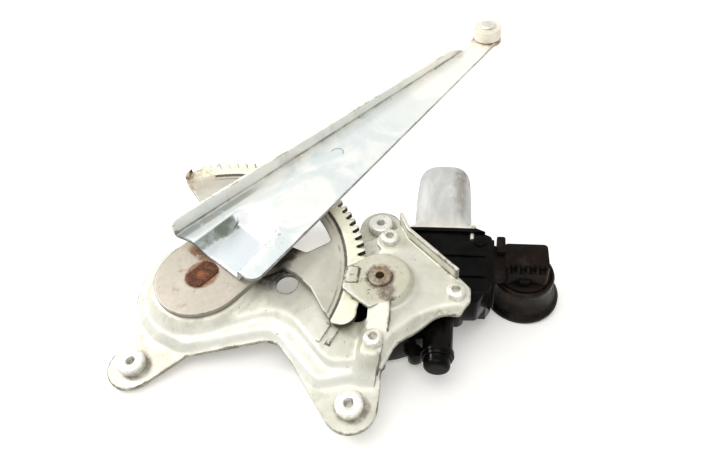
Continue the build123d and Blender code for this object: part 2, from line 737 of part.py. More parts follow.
# --- gearbox -----------------------------------------------------------------------
chamber_r = wheel_tip_r + 0.8
drum_r = chamber_r + wall
bore_r = worm_tip_r + thread_gap
pocket_from = 31.0             # the brush pocket, from the worm wheel's axis
pocket_r = can_r - can_wall
pocket_flat = can_flat - can_wall
shelf = 2.4                    # step down in the block's glass side
card_flat = block_top - shelf - 1.4 - axis_height  # half height of the brush pocket
bush_length = 8.0
screw_top = [deck_top + dimple_rise, deck_top, deck_top]
lid_screws_at = [polar(drum_r + 3.2, turn) for turn in (135, 225, 304)]
can_screws_at = [(17.9, -10.8), (-17.9, 10.8)]
block = closed(
    [(117, motor_face), (158, motor_face), (167, 42), (167, 8), (158, -8), (147, -8.5),
     (128, -8), (117, 12)], [2, 3, 3, 4, 3, 3, 0, 0])


def can_section(radius, flat):
    """Round section of the motor with two flats."""
    with BuildSketch() as shape:
        Circle(radius)
        Rectangle(2 * radius, 2 * flat, mode=Mode.INTERSECT)
    return shape.sketch


with BuildPart() as gearbox_housing:
    with BuildSketch(level(block_low)):
        add(block)
    extrude(amount=block_top - block_low)
    with BuildSketch(level(block_low)):
        with Locations((worm_at + 8, -10)):
            Rectangle(60, 24)
    extrude(amount=axis_height - 3 - block_low, mode=Mode.SUBTRACT)
    with BuildSketch(level(drum_low, *pinion_at)):
        Circle(drum_r)
    extrude(amount=drum_top - drum_low)
    with BuildSketch(level(drum_low, *pinion_at)):
        with Locations(*lid_screws_at):
            Circle(4.2)
    extrude(amount=8)
    with BuildSketch(motor_plane(tube_end + 6)):
        Circle(tube_r)
    extrude(amount=-tube_end)
    with BuildSketch(motor_plane(tube_end + 8)):
        Circle(tube_r + 0.9)
    extrude(amount=2.5)
    with BuildSketch(motor_plane(tube_end + 6)):
        Circle(tube_r - 1)
    extrude(amount=-6)
    fillet(gearbox_housing.edges().filter_by(GeomType.CIRCLE).sort_by(Axis.Y)[0], radius=2.5)
    for at, top in zip(motor_screws_at, screw_top):
        with BuildSketch(level(drum_low + 2, *at)):
            Circle(screw_r + 1.7)
        extrude(amount=top - sheet - drum_low - 2)
    with BuildSketch(level(drum_top, *pinion_at)):
        Circle(pinion_shaft_r + 3)
    extrude(amount=pinion_top - pinion_face - 0.3 - drum_top)
    # ribs and a lower shelf on the block's glass side
    with BuildSketch(level(block_top)):
        with Locations((143, 22)):
            Rectangle(60, 44)
    extrude(amount=-shelf, mode=Mode.SUBTRACT)
    with BuildSketch(level(block_top - shelf)):
        with Locations((150, 27)):
            RectangleRounded(26, 2, 0.9)
        with Locations((153, 12)):
            RectangleRounded(20, 2, 0.9)
        with Locations((160, 38)):
            Circle(4)
    extrude(amount=1.6)
    # wheel chamber, worm bore, brush pocket and bearing seats
    with BuildSketch(level(drum_low, *pinion_at)):
        Circle(chamber_r)
    extrude(amount=drum_top - roof - drum_low, mode=Mode.SUBTRACT)
    with BuildSketch(level(drum_top - roof, *pinion_at)):
        Circle(pinion_shaft_r + running)
    extrude(amount=pinion_top, mode=Mode.SUBTRACT)
    with BuildSketch(motor_plane(tube_end + 14)):
        Circle(bore_r)
    extrude(amount=pocket_from - tube_end - 14, mode=Mode.SUBTRACT)
    with BuildSketch(motor_plane(tube_end + 4)):
        Circle(motor_shaft_r + 2)
    extrude(amount=10, mode=Mode.SUBTRACT)
    with BuildSketch(motor_plane(pocket_from)):
        add(can_section(pocket_r, card_flat))
    extrude(amount=motor_face - pocket_from, mode=Mode.SUBTRACT)
    # screw holes
    for at, top in zip(motor_screws_at, screw_top):
        with BuildSketch(level(screw_tip - 0.5, *at)):
            Circle(screw_r)
        extrude(amount=top, mode=Mode.SUBTRACT)
    with BuildSketch(level(drum_low, *pinion_at)):
        with Locations(*lid_screws_at):
            Circle(small_screw_r)
    extrude(amount=6.5, mode=Mode.SUBTRACT)
    with BuildSketch(motor_plane(motor_face)):
        with Locations(*can_screws_at):
            Circle(small_screw_r)
    extrude(amount=-8, mode=Mode.SUBTRACT)
gearbox_housing.part.label = "gearbox_housing"
export_step(gearbox_housing.part, "parts/gearbox_housing.step")

with BuildPart() as gearbox_cover:
    with BuildSketch(level(drum_low, *pinion_at)):
        Circle(drum_r)
        with Locations(*lid_screws_at):
            Circle(4.2)
    extrude(amount=-lid_sheet)
    with BuildSketch(level(drum_low - lid_sheet, *pinion_at)):
        Circle(9)
    extrude(amount=-2)
    fillet(gearbox_cover.faces().sort_by(Axis.Z)[0].edges(), radius=1.2)
    with BuildSketch(level(drum_low, *pinion_at)):
        Circle(pinion_flat - 0.5 + running)
    extrude(amount=-lid_sheet - 0.2, mode=Mode.SUBTRACT)
    with BuildSketch(level(drum_low, *pinion_at)):
        with Locations(*lid_screws_at):
            Circle(small_screw_r + 0.15)
    extrude(amount=-3 * lid_sheet, mode=Mode.SUBTRACT)
    with BuildSketch(level(drum_low + 1)):
        add(block)
    extrude(amount=-3 * lid_sheet, mode=Mode.SUBTRACT)
    with BuildSketch(motor_plane(tube_end)):
        Circle(tube_r + 1.2)
    extrude(amount=motor_face - tube_end, mode=Mode.SUBTRACT)
gearbox_cover.part.label = "gearbox_cover"
export_step(gearbox_cover.part, "parts/gearbox_cover.step")

with BuildPart() as cover_screws:
    with BuildSketch(level(drum_low - lid_sheet, *pinion_at)):
        with Locations(*lid_screws_at):
            Circle(small_head_r)
    extrude(amount=-small_head)
    chamfer(cover_screws.faces().group_by(Axis.Z)[0].edges(), length=0.5)
    with BuildSketch(level(drum_low - lid_sheet, *pinion_at)):
        with Locations(*lid_screws_at):
            Circle(small_screw_r)
    extrude(amount=8)
cover_screws.part.label = "cover_screws"
export_step(cover_screws.part, "parts/cover_screws.step")

with BuildPart() as motor_screws:
    for at, top in zip(motor_screws_at, screw_top):
        with BuildSketch(level(top, *at)):
            Circle(screw_head_r)
        head = extrude(amount=screw_head)
        fillet(head.edges().filter_by(GeomType.CIRCLE).group_by(Axis.Z)[-1], radius=1.1)
        with BuildSketch(level(top + screw_head, *at)):
            RegularPolygon(radius=2.6, side_count=6)
        extrude(amount=-2.4, mode=Mode.SUBTRACT)
        with BuildSketch(level(screw_tip, *at)):
            Circle(screw_r)
        extrude(amount=top - screw_tip)
motor_screws.part.label = "motor_screws"
export_step(motor_screws.part, "parts/motor_screws.step")

# --- motor -------------------------------------------------------------------------
can_end = motor_face + can_length
core_from, core_to = motor_face + 13, can_end - 13
coil_over = 6.0                # the windings' overhang past the core
commutator_from, commutator_to = motor_face - 8, motor_face + 3
commutator_r = 6.0
shaft_from, shaft_to = tube_end + 4.4, can_end + 2.2
journal_from = tube_end + 5.0  # bearings
cup_r = motor_shaft_r + 4

thread_low = worm_root_r - 0.25
half_low = worm_tooth / 2 + (worm_pitch_r - thread_low) * tan(radians(pressure_angle))
half_high = worm_tooth / 2 - worm_module * tan(radians(pressure_angle))
with BuildPart() as worm_thread:
    with BuildLine() as helix:
        Helix(pitch=worm_lead, height=worm_length, radius=worm_pitch_r)
    with BuildSketch(Plane(origin=(worm_pitch_r, 0, 0), x_dir=(1, 0, 0), z_dir=helix.line % 0)):
        with BuildLine():
            Polyline((thread_low - worm_pitch_r, -half_low), (worm_module, -half_high),
                     (worm_module, half_high), (thread_low - worm_pitch_r, half_low), close=True)
        make_face()
    sweep(path=helix.line, is_frenet=True)

with BuildPart() as worm_shaft:
    with BuildSketch(motor_plane(shaft_from)):
        Circle(motor_shaft_r)
    extrude(amount=shaft_to - shaft_from)
    with BuildSketch(motor_plane(-worm_length / 2 - 3)):
        Circle(worm_root_r)
    extrude(amount=worm_length + 6)
    add(worm_thread.part.moved(motor_plane(-worm_length / 2).location))
worm_shaft.part.label = "worm_shaft"
export_step(worm_shaft.part, "parts/worm_shaft.step")

with BuildPart() as shaft_bushes:
    for y, outer in ((journal_from, motor_shaft_r + 2), (pocket_from - bush_length, bore_r),
                     (can_end - can_wall, cup_r - can_wall)):
        with BuildSketch(motor_plane(y)):
            Circle(outer)
            Circle(motor_shaft_r + running, mode=Mode.SUBTRACT)
        extrude(amount=bush_length if outer == bore_r else 4)
shaft_bushes.part.label = "shaft_bushes"
export_step(shaft_bushes.part, "parts/shaft_bushes.step")

with BuildSketch() as core_section:
    Circle(core_r)
    Circle(motor_shaft_r, mode=Mode.SUBTRACT)
    with PolarLocations(core_r * 0.68, slots):
        SlotOverall(core_r * 0.4, core_r * 0.24, mode=Mode.SUBTRACT)
    with PolarLocations(core_r * 0.95, slots):
        Rectangle(core_r * 0.3, 1.2, mode=Mode.SUBTRACT)

with BuildPart() as armature_core:
    with BuildSketch(motor_plane(core_from)):
        add(core_section.sketch)
    extrude(amount=core_to - core_from)
armature_core.part.label = "armature_core"
export_step(armature_core.part, "parts/armature_core.step")

with BuildPart() as armature_windings:
    for y, amount in ((core_from, -coil_over), (core_to, coil_over)):
        with BuildSketch(motor_plane(y)):
            Circle(core_r * 0.9)
            Circle(motor_shaft_r + 1, mode=Mode.SUBTRACT)
        ring = extrude(amount=amount)
        fillet(ring.edges().filter_by(GeomType.CIRCLE).sort_by(Axis.Y)[0 if amount < 0 else -1], radius=1.5)
    with BuildSketch(motor_plane(core_from - 1)):
        with PolarLocations(core_r * 0.68, slots):
            SlotOverall(core_r * 0.4 - 0.2, core_r * 0.24 - 0.2)
    extrude(amount=core_to - core_from + 2)
armature_windings.part.label = "armature_windings"
export_step(armature_windings.part, "parts/armature_windings.step")

with BuildPart() as commutator:
    with BuildSketch(motor_plane(commutator_from)):
        Circle(commutator_r)
        Circle(motor_shaft_r, mode=Mode.SUBTRACT)
        with PolarLocations(commutator_r, slots):
            Rectangle(1.6, 0.5, mode=Mode.SUBTRACT)
    extrude(amount=commutator_to - commutator_from)
commutator.part.label = "commutator"
export_step(commutator.part, "parts/commutator.step")

with BuildPart() as motor_magnets:
    with BuildSketch(motor_plane(core_from - 3)):
        Circle(pocket_r - running)
        Circle(core_r + air_gap, mode=Mode.SUBTRACT)
        with BuildLine():
            Polyline((0, 0), polar(30, 47), (30, 30), (30, -30), polar(30, -47), close=True)
        wedge = make_face(mode=Mode.PRIVATE)
        add([wedge, wedge.mirror(Plane.YZ)], mode=Mode.INTERSECT)
    extrude(amount=core_to - core_from + 6)
motor_magnets.part.label = "motor_magnets"
export_step(motor_magnets.part, "parts/motor_magnets.step")

with BuildPart() as motor_can:
    with BuildSketch(motor_plane(motor_face)):
        RectangleRounded(42, 2 * can_flat, 4)
    extrude(amount=2)
    with BuildSketch(motor_plane(motor_face + 2)):
        add(can_section(can_r + flare, can_flat))
    extrude(amount=flare_length - 2, taper=degrees(atan2(flare, flare_length - 2)))
    with BuildSketch(motor_plane(motor_face + 2)):
        with Locations(*can_screws_at):
            Circle(small_head_r + 0.25)
    extrude(amount=flare_length, mode=Mode.SUBTRACT)
    with BuildSketch(motor_plane(motor_face)):
        add(can_section(can_r, can_flat))
    extrude(amount=can_length)
    fillet(motor_can.faces().sort_by(Axis.Y)[-1].edges(), radius=4)
    with BuildSketch(motor_plane(can_end)):
        Circle(cup_r)
    extrude(amount=3)
    fillet(motor_can.faces().sort_by(Axis.Y)[-1].edges(), radius=1)
    with BuildSketch(motor_plane(motor_face)):
        add(can_section(pocket_r, pocket_flat))
    extrude(amount=can_length - can_wall, mode=Mode.SUBTRACT)
    with BuildSketch(motor_plane(can_end - can_wall)):
        Circle(cup_r - can_wall)
    extrude(amount=4, mode=Mode.SUBTRACT)
    with BuildSketch(motor_plane(motor_face)):
        with Locations(*can_screws_at):
            Circle(small_screw_r + 0.15)
    extrude(amount=3, mode=Mode.SUBTRACT)
motor_can.part.label = "motor_can"
export_step(motor_can.part, "parts/motor_can.step")

with BuildPart() as can_screws:
    with BuildSketch(motor_plane(motor_face - 7)):
        with Locations(*can_screws_at):
            Circle(small_screw_r)
    extrude(amount=9)
    with BuildSketch(motor_plane(motor_face + 2)):
        with Locations(*can_screws_at):
            Circle(small_head_r)
    extrude(amount=small_head)
    chamfer(can_screws.faces().group_by(Axis.Y)[-1].edges(), length=0.5)
can_screws.part.label = "can_screws"
export_step(can_screws.part, "parts/can_screws.step")

brush_tall, brush_wide = 5.0, 5.0
with BuildPart() as brush_card:
    with BuildSketch(motor_plane(pocket_from)):
        add(can_section(pocket_r - 0.1, card_flat - 0.1))
        Circle(commutator_r + 1, mode=Mode.SUBTRACT)
    extrude(amount=commutator_from - pocket_from)
    with BuildSketch(motor_plane(commutator_from)):
        with Locations((commutator_r + 5, 0), (-commutator_r - 5, 0)):
            Rectangle(7, brush_tall + 2.4)
            Rectangle(7, brush_tall + 0.1, mode=Mode.SUBTRACT)
    extrude(amount=brush_wide)
brush_card.part.label = "brush_card"
export_step(brush_card.part, "parts/brush_card.step")

with BuildPart() as brushes:
    with BuildSketch(motor_plane(commutator_from)):
        with Locations((commutator_r + 4.3, 0), (-commutator_r - 4.3, 0)):
            Rectangle(8.6, brush_tall)
        Circle(commutator_r + 0.25, mode=Mode.SUBTRACT)
    extrude(amount=brush_wide)
brushes.part.label = "brushes"
export_step(brushes.part, "parts/brushes.step")

# --- connector ---------------------------------------------------------------------
collar_r = 15.5
socket = (21.0, 12.0)
socket_low, socket_top = -27.0, -13.0
blade = (0.8, 2.8)
pins = 4
with BuildPart() as connector_shroud:
    with BuildSketch(level(-17)):
        with Locations((167.8, 26)):
            RectangleRounded(1.6, 34, 0.7)
    extrude(amount=22)
    with BuildSketch(level(-10.5)):
        with Locations((178.8, 31)):
            Rectangle(21.4, 18)
    extrude(amount=13.5)
    with BuildSketch(level(-10.5)):
        with Locations((187, 31)):
            RectangleRounded(25, 19, 2.5)
    extrude(amount=15.5)
    with BuildSketch(level(-4)):
        with Locations((172.5, 38)):
            RectangleRounded(5, 12, 1.2)
    extrude(amount=11)
    with BuildSketch(level(5)):
        with Locations(*((179.2 + n * 5.4, 22.6) for n in range(pins))):
            Circle(2.3)
    extrude(amount=-5, mode=Mode.SUBTRACT)
    with BuildSketch(level(socket_low, *bell_at)):
        Circle(collar_r - 2)
    extrude(amount=-12 - socket_low)
    with BuildSketch(level(-16, *bell_at)):
        Circle(collar_r)
    extrude(amount=6)
    with BuildSketch(level(-9)):
        with Locations((186, 21.2)):
            RectangleRounded(6, 2, 0.5)
    extrude(amount=4)
    with BuildSketch(level(socket_low, *bell_at)):
        RectangleRounded(*socket, 1.5)
    extrude(amount=socket_top - socket_low, mode=Mode.SUBTRACT)
    with BuildSketch(level(socket_top, *bell_at)):
        with GridLocations(4.4, 1, pins, 1):
            Rectangle(*blade)
    extrude(amount=4, mode=Mode.SUBTRACT)
connector_shroud.part.label = "connector_shroud"
export_step(connector_shroud.part, "parts/connector_shroud.step")

with BuildPart() as terminals:
    with BuildSketch(level(socket_low + 3, *bell_at)):
        with GridLocations(4.4, 1, pins, 1):
            Rectangle(*blade)
    extrude(amount=socket_top - socket_low + 1)
terminals.part.label = "terminals"
export_step(terminals.part, "parts/terminals.step")

with BuildPart() as seal_bell:
    with BuildSketch(Plane(origin=level(0, *bell_at).origin, x_dir=(1, 0, 0), z_dir=(0, -1, 0))):
        with BuildLine():
            outside = Spline((collar_r + 2.6, -13.0), (collar_r + 3.0, -21), (bell_r - 1.2, -26), (bell_r, -30.5))
            Polyline(outside @ 1, (bell_r, bell_low), (bell_r - 2, bell_low), (bell_r - 2, -31))
            inside = Spline((bell_r - 2, -31), (bell_r - 3.4, -27), (collar_r + 0.9, -22), (collar_r + 0.6, -17))
            Polyline(inside @ 1, (collar_r, -16.5), (collar_r, -11), (collar_r + 1.8, -11), outside @ 0)
        make_face()
    revolve(axis=Axis(level(0, *bell_at).origin, (0, 0, 1)))
seal_bell.part.label = "seal_bell"
export_step(seal_bell.part, "parts/seal_bell.step")
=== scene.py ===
"""Looks of a sector-gear window regulator: finishes, small hardware, stage and camera.

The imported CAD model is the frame. Each visible node is dressed as a copy of itself with
pressed bends, rounded edges and a worn finish. The script works in metres; what is given to
noise(), patches(), specks(), edge_grime() and disc(), and the points of screws, is in millimetres.
"""
import json
import math

import bmesh
import bpy
import numpy as np
from mathutils import Matrix, Vector
from mathutils.kdtree import KDTree

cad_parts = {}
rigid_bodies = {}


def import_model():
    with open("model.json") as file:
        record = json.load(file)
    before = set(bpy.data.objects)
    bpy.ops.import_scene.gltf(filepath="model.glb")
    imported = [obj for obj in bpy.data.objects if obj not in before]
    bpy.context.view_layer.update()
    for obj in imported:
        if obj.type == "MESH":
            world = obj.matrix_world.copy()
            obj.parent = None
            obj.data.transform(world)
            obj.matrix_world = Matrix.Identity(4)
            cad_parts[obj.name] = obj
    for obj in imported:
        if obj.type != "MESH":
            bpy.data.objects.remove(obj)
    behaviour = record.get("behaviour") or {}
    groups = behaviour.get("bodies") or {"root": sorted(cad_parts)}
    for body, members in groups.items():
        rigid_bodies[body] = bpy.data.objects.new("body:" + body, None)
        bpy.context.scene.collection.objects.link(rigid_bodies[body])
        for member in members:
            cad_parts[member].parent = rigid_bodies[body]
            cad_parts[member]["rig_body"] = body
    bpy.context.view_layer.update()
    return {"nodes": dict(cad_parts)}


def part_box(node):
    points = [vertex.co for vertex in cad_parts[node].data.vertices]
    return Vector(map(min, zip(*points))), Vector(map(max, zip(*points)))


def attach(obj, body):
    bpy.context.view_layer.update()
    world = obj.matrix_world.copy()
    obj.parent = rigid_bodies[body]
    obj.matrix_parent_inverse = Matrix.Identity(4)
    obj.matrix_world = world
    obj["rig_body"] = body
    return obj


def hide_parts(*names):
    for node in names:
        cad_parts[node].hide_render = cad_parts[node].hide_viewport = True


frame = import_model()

bl_info = {
    "name": "Window Regulator",
    "version": (1, 0, 0),
    "blender": (4, 5, 0),
    "location": "View3D > Sidebar > Regulator",
    "description": "Dresses a sector-gear window regulator with its finishes and stage",
    "category": "Object",
}

MM = 0.001

# places on the part, from the left mounting nut
PIVOT = (27.0 * MM, 53.5 * MM)
ARM_TURN = math.radians(54.8)
PINION = (132.0, 53.5)
NUTS = ((0, 0), (122.5, -15), (126, 106.5))
MOTOR_SCREWS = ((134.5, 84.5, 16.2), (173.5, 48.5, 15.0), (132.0, 16.5, 15.0))
MOTOR_X = 164.5
CAN_SCREW_REACH = 17.9
CAN_SCREWS = ((MOTOR_X - CAN_SCREW_REACH, 102.0, -13.8), (MOTOR_X + CAN_SCREW_REACH, 102.0, 7.8))
LID_SCREW_RING = 36.29
LID_SCREW_ANGLES = (135, 225, 304)
LID_SCREW_HEAD = 1.8
SECTOR_END = (0.5, 133.0)          # middle of the lobe at the sector's far end
LOBE = (9.3, 10.0)                 # its half width and half height
TANG_END = 8.6 * MM                # the spring's tang turns with the shaft within this radius
FOLD, FOLD_SLOPE = 0.0281, 0.0896  # the arm's fold: v = FOLD - FOLD_SLOPE * u in the arm's own axes

# the camera: its lens, where it stands, and its own X and Z axes
SENSOR = 36.0
FOCAL_PX, WIDTH_PX = 600.0, 722.0
CAMERA_AT = (172.34, -147.09, 282.15)
CAMERA_ACROSS = (0.98746, 0.12488, -0.09654)
CAMERA_BEHIND = (0.15553, -0.66518, 0.7303)


# --- meshes -------------------------------------------------------------------
def cad_mesh(node):
    """Copy of a CAD node as a bmesh with its loose triangles merged."""
    mesh = bmesh.new()
    mesh.from_mesh(frame["nodes"][node].data)
    bmesh.ops.remove_doubles(mesh, verts=mesh.verts, dist=2e-6)
    bmesh.ops.dissolve_degenerate(mesh, edges=mesh.edges, dist=1e-6)
    mesh.normal_update()
    return mesh


def linked(name, data):
    """An object of a mesh, lamp or camera, linked to the scene."""
    thing = bpy.data.objects.new(name, data)
    bpy.context.scene.collection.objects.link(thing)
    return thing


def place(thing, body, stands_for, smooth):
    """Shades a finished piece, tells the frame its body and hides the node it stands for."""
    thing.data.shade_smooth()
    thing.data.set_sharp_from_angle(angle=math.radians(smooth))
    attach(thing, body)
    if stands_for:
        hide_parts(stands_for)


def piece(name, mesh, look, body, stands_for, smooth=38.0):
    """Makes a finished piece of a bmesh."""
    data = bpy.data.meshes.new(name)
    mesh.to_mesh(data)
    mesh.free()
    data.materials.append(finish(look))
    place(linked(name, data), body, stands_for, smooth)


def refine(mesh, longest):
    """Splits edges until none is longer than a length."""
    most_rounds = 9
    for _ in range(most_rounds):
        bmesh.ops.triangulate(mesh, faces=mesh.faces, quad_method="SHORT_EDGE")
        edges = [e for e in mesh.edges if e.calc_length() > longest]
        if not edges:
            break
        bmesh.ops.subdivide_edges(mesh, edges=edges, cuts=1)
    bmesh.ops.triangulate(mesh, faces=mesh.faces, quad_method="BEAUTY")
    mesh.normal_update()


def press_bends(mesh, reach, upright=0.06, share=None):
    """Rounds the bends of pressed sheet as a press does, and leaves its cut edges sharp.

    The cut edges are the upright faces. The skins between them are evened out by
    solving (area + reach^2 * cotangent stiffness) new = area * old for each coordinate.
    A share function of the points, from 0 to 1, limits the rounding to a part of the mesh.
    """
    passes, most_steps, rim_hold = 2, 160, 1e4
    settled, gained = 1e-22, 1e-14
    mesh.verts.ensure_lookup_table()
    count = len(mesh.verts)
    spots = np.array([v.co for v in mesh.verts])
    cut = np.array([abs(f.normal.z) < upright for f in mesh.faces])
    corners = np.array([[v.index for v in f.verts] for f in mesh.faces])
    rim = np.zeros(count, bool)
    rim[corners[cut].ravel()] = True
    skin = corners[~cut]
    soft = np.ones(count) if share is None else share(spots)
    for _ in range(passes):
        ends, weights = [], []
        area = np.zeros(count)
        for k in range(3):
            a, b, c = skin[:, k], skin[:, (k + 1) % 3], skin[:, (k + 2) % 3]
            one, two = spots[a] - spots[c], spots[b] - spots[c]
            cross = np.linalg.norm(np.cross(one, two), axis=1) + 1e-14
            weights.append(np.clip((one * two).sum(1) / cross, -5, 20) / 2)
            ends.append((a, b))
            if k == 0:
                for corner in (a, b, c):
                    area += np.bincount(corner, cross / 6, count)
        head = np.concatenate([e[0] for e in ends])
        tail = np.concatenate([e[1] for e in ends])
        pull = np.concatenate(weights) * reach ** 2 * (soft[head] + soft[tail]) / 2
        free = area > 0

        def apply(values, hold):
            flow = pull * (values[head] - values[tail])
            return (area * hold * values + np.bincount(head, flow, count)
                    - np.bincount(tail, flow, count))

        for axis in range(3):
            hold = np.where(rim & (axis < 2), rim_hold, 1.0)
            old = spots[:, axis]
            new = old.copy()
            scale = 1 / np.where(free, area * hold, 1.0)
            rest = np.where(free, area * hold * old - apply(new, hold), 0.0)
            step = rest * scale
            turn, grip = step.copy(), (rest * step).sum()
            for _ in range(most_steps):
                pushed = np.where(free, apply(turn, hold), 0.0)
                stride = grip / max((turn * pushed).sum(), 1e-300)
                new = new + stride * turn
                rest = rest - stride * pushed
                step = rest * scale
                fresh = (rest * step).sum()
                if fresh < settled or fresh < grip * gained:
                    break
                turn, grip = step + fresh / grip * turn, fresh
            spots[:, axis] = np.where(free, new, old)
    for vertex, spot in zip(mesh.verts, spots):
        vertex.co = spot
    mesh.normal_update()


def mark_edges(mesh):
    """Stores each point's distance to the nearest cut edge, for worn and dirty edges."""
    sharp, spacing, far = 55.0, 0.8 * MM, 50 * MM
    points = []
    for edge in mesh.edges:
        if len(edge.link_faces) == 2 and edge.calc_face_angle(0) > math.radians(sharp):
            a, b = edge.verts[0].co, edge.verts[1].co
            steps = max(1, int((b - a).length / spacing))
            points += [a.lerp(b, n / steps) for n in range(steps + 1)]
    tree = KDTree(len(points))
    for n, point in enumerate(points):
        tree.insert(point, n)
    tree.balance()
    layer = mesh.verts.layers.float.new("edge_distance")
    for vertex in mesh.verts:
        vertex[layer] = min(tree.find(vertex.co)[2], far)


def round_edges(mesh, width, limit=32.0):
    """Bevels the edges of a solid that turn by more than an angle, and marks them as worn; on the black parts
    they get painted highlights and wear.
    """
    worn = mesh.faces.layers.float.new("worn")
    edges = [e for e in mesh.edges if len(e.link_faces) == 2 and e.calc_face_angle(0) > math.radians(limit)]
    made = bmesh.ops.bevel(mesh, geom=edges, offset=width, offset_type="OFFSET", segments=2, profile=0.5,
                           affect="EDGES", clamp_overlap=True)
    for face in made["faces"]:
        face[worn] = 1.0
    mesh.normal_update()


def stand_in(node, mesh, look, smooth=38.0):
    """Puts a mesh in for its CAD node, on the node's own body."""
    piece("dressed_" + node, mesh, look, frame["nodes"][node]["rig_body"], node, smooth)


def dress(node, look, width, limit=32.0):
    """Stands a copy of a CAD node in for it, with rounded edges and a finish."""
    mesh = cad_mesh(node)
    if width:
        round_edges(mesh, width * MM, limit)
    stand_in(node, mesh, look)


# --- node trees -------------------------------------------------------------------
def arithmetic(operation, swapped=False):
    """A method of a level that adds a Math node; swapped puts the other number first."""
    def method(level, *others):
        parts = (*others, level) if swapped else (level, *others)
        return level.owner.node("ShaderNodeMath", dict(enumerate(parts)), operation=operation)
    return method


class Level:
    """An output socket of a node; sums, products and powers of it add Math nodes."""

    __add__, __radd__ = arithmetic("ADD"), arithmetic("ADD", True)
    __sub__, __rsub__ = arithmetic("SUBTRACT"), arithmetic("SUBTRACT", True)
    __mul__, __rmul__ = arithmetic("MULTIPLY"), arithmetic("MULTIPLY", True)
    __pow__, __abs__ = arithmetic("POWER"), arithmetic("ABSOLUTE")
    least, most = arithmetic("MINIMUM"), arithmetic("MAXIMUM")

    def __init__(self, owner, socket):
        self.owner, self.socket = owner, socket

    def rise(self, low, high):
        """0 below low, 1 above high, a smooth step between; high below low turns it round."""
        return self.owner.node("ShaderNodeMapRange", {0: self, 1: low, 2: high, 3: 0.0, 4: 1.0},
                               interpolation_type="SMOOTHSTEP")


class Nodes:
    """A node tree that is being built."""

    tree = None

    def node(self, kind, values=None, out=0, **settings):
        """Adds a node with its settings and its sockets' values or links; returns one output."""
        made = self.tree.nodes.new(kind)
        for name, value in settings.items():
            setattr(made, name, value)
        for name, value in (values or {}).items():
            for one in value if isinstance(value, list) else [value]:
                if isinstance(one, Level):
                    self.tree.links.new(one.socket, made.inputs[name])
                else:
                    made.inputs[name].default_value = one
        return None if out is None else Level(self, made.outputs[out])


class Finish(Nodes):
    """One material, built coat by coat on Object coordinates."""

    def __init__(self, name):
        self.material = bpy.data.materials.new(name)
        self.material.use_nodes = True
        self.tree = self.material.node_tree
        self.tree.nodes.clear()
        self.spot = self.node("ShaderNodeTexCoord", out="Object")
        self.tone = None
        parts = self.node("ShaderNodeSeparateXYZ", {0: self.spot}).socket.node
        self.axes = [Level(self, parts.outputs[n]) for n in range(3)]

    def disc(self, at, radius, soft, wobble=0.0):
        """1 inside a circle round a point in millimetres, with a soft and ragged rim."""
        x, y, _ = self.axes
        dx, dy = x - at[0] * MM, y - at[1] * MM
        return ((dx * dx + dy * dy) ** 0.5 + wobble).rise((radius + soft) * MM, (radius - soft) * MM)

    def noise(self, size, detail=4, rough=0.6, stretch=(1, 1, 1), shift=0.0, turn=0.0, bend=0.0):
        """Noise with features of a size in millimetres; about 0.5 in the middle."""
        spot = self.node("ShaderNodeMapping", {
            0: self.spot, 1: (shift, shift * 0.37, -shift), 2: (0, 0, turn), 3: stretch})
        return self.node("ShaderNodeTexNoise", {
            "Vector": spot, "Scale": 1000.0 / size, "Detail": detail, "Roughness": rough, "Distortion": bend})

    def patches(self, low, high, *size, **more):
        """Soft patches of noise: 0 where it is below low, 1 where it is above high."""
        return self.noise(*size, **more).rise(low, high)

    def stored(self, name):
        """A number stored on the mesh."""
        return self.node("ShaderNodeAttribute", out="Fac", attribute_name=name)

    def mix(self, share, *colours):
        """The first colour turning into the second."""
        one, two = [c if isinstance(c, Level) else (*(colour(c) if isinstance(c, str) else c), 1.0)
                    for c in colours]
        return self.node("ShaderNodeMix", {0: share, 6: one, 7: two}, 2, data_type="RGBA")

    def base(self, share, one, two):
        """Starts the tone as one colour turning into another."""
        self.tone = self.mix(share, one, two)

    def coat(self, share, over):
        """Lays a colour over the tone, by a share from 0 to 1."""
        self.tone = self.mix(share, self.tone, over)

    def surface(self, roughness, metallic, height, depth, strength, **constants):
        """Ends the material in a Principled shader; height in parts of depth millimetres."""
        bump = self.node("ShaderNodeBump", {"Strength": strength, "Distance": depth * MM, "Height": height})
        values = {"Base Color": self.tone, "Roughness": roughness, "Metallic": metallic, "Normal": bump}
        values.update({name.replace("_", " "): value for name, value in constants.items()})
        self.node("ShaderNodeOutputMaterial", {0: self.node("ShaderNodeBsdfPrincipled", values)}, None)
        return self.material


def colour(name):
    """A colour of the settings as a plain tuple."""
    return tuple(getattr(bpy.context.scene.regulator_colours, name))


def specks(finish, size, share, shift=0.0):
    """Scattered ragged dirt: 1 inside a speck; share sets how many there are."""
    low = 0.70 - 0.06 * share
    dots = finish.patches(low, low + 0.03, size, 5, 0.72, shift=shift, bend=0.6)
    return dots * finish.patches(0.50, 0.60, size * 7.0, 2, 0.5, shift=shift + 3.1)


def edge_grime(finish, reach, share=0.5, shift=5.0):
    """Broken lines of dirt along the cut edges, up to a reach in millimetres."""
    ragged = finish.noise(2.3, 4, 0.72, shift=shift)
    line = (finish.stored("edge_distance") + (ragged - 0.48) * 0.0030).rise(reach * MM, reach * 0.15 * MM)
    low = 0.58 - 0.16 * share
    return line * finish.patches(low, low + 0.12, 13, 3, 0.6, shift=shift + 2.0)


def cut_sides(finish):
    """1 on the upright faces, where the press sheared the sheet."""
    normal = finish.node("ShaderNodeNewGeometry", out="True Normal")
    upright = abs(finish.node("ShaderNodeSeparateXYZ", {0: normal}, 2))
    return upright.rise(0.22, 0.08) * finish.stored("edge_distance").rise(2.2 * MM, 1.3 * MM)


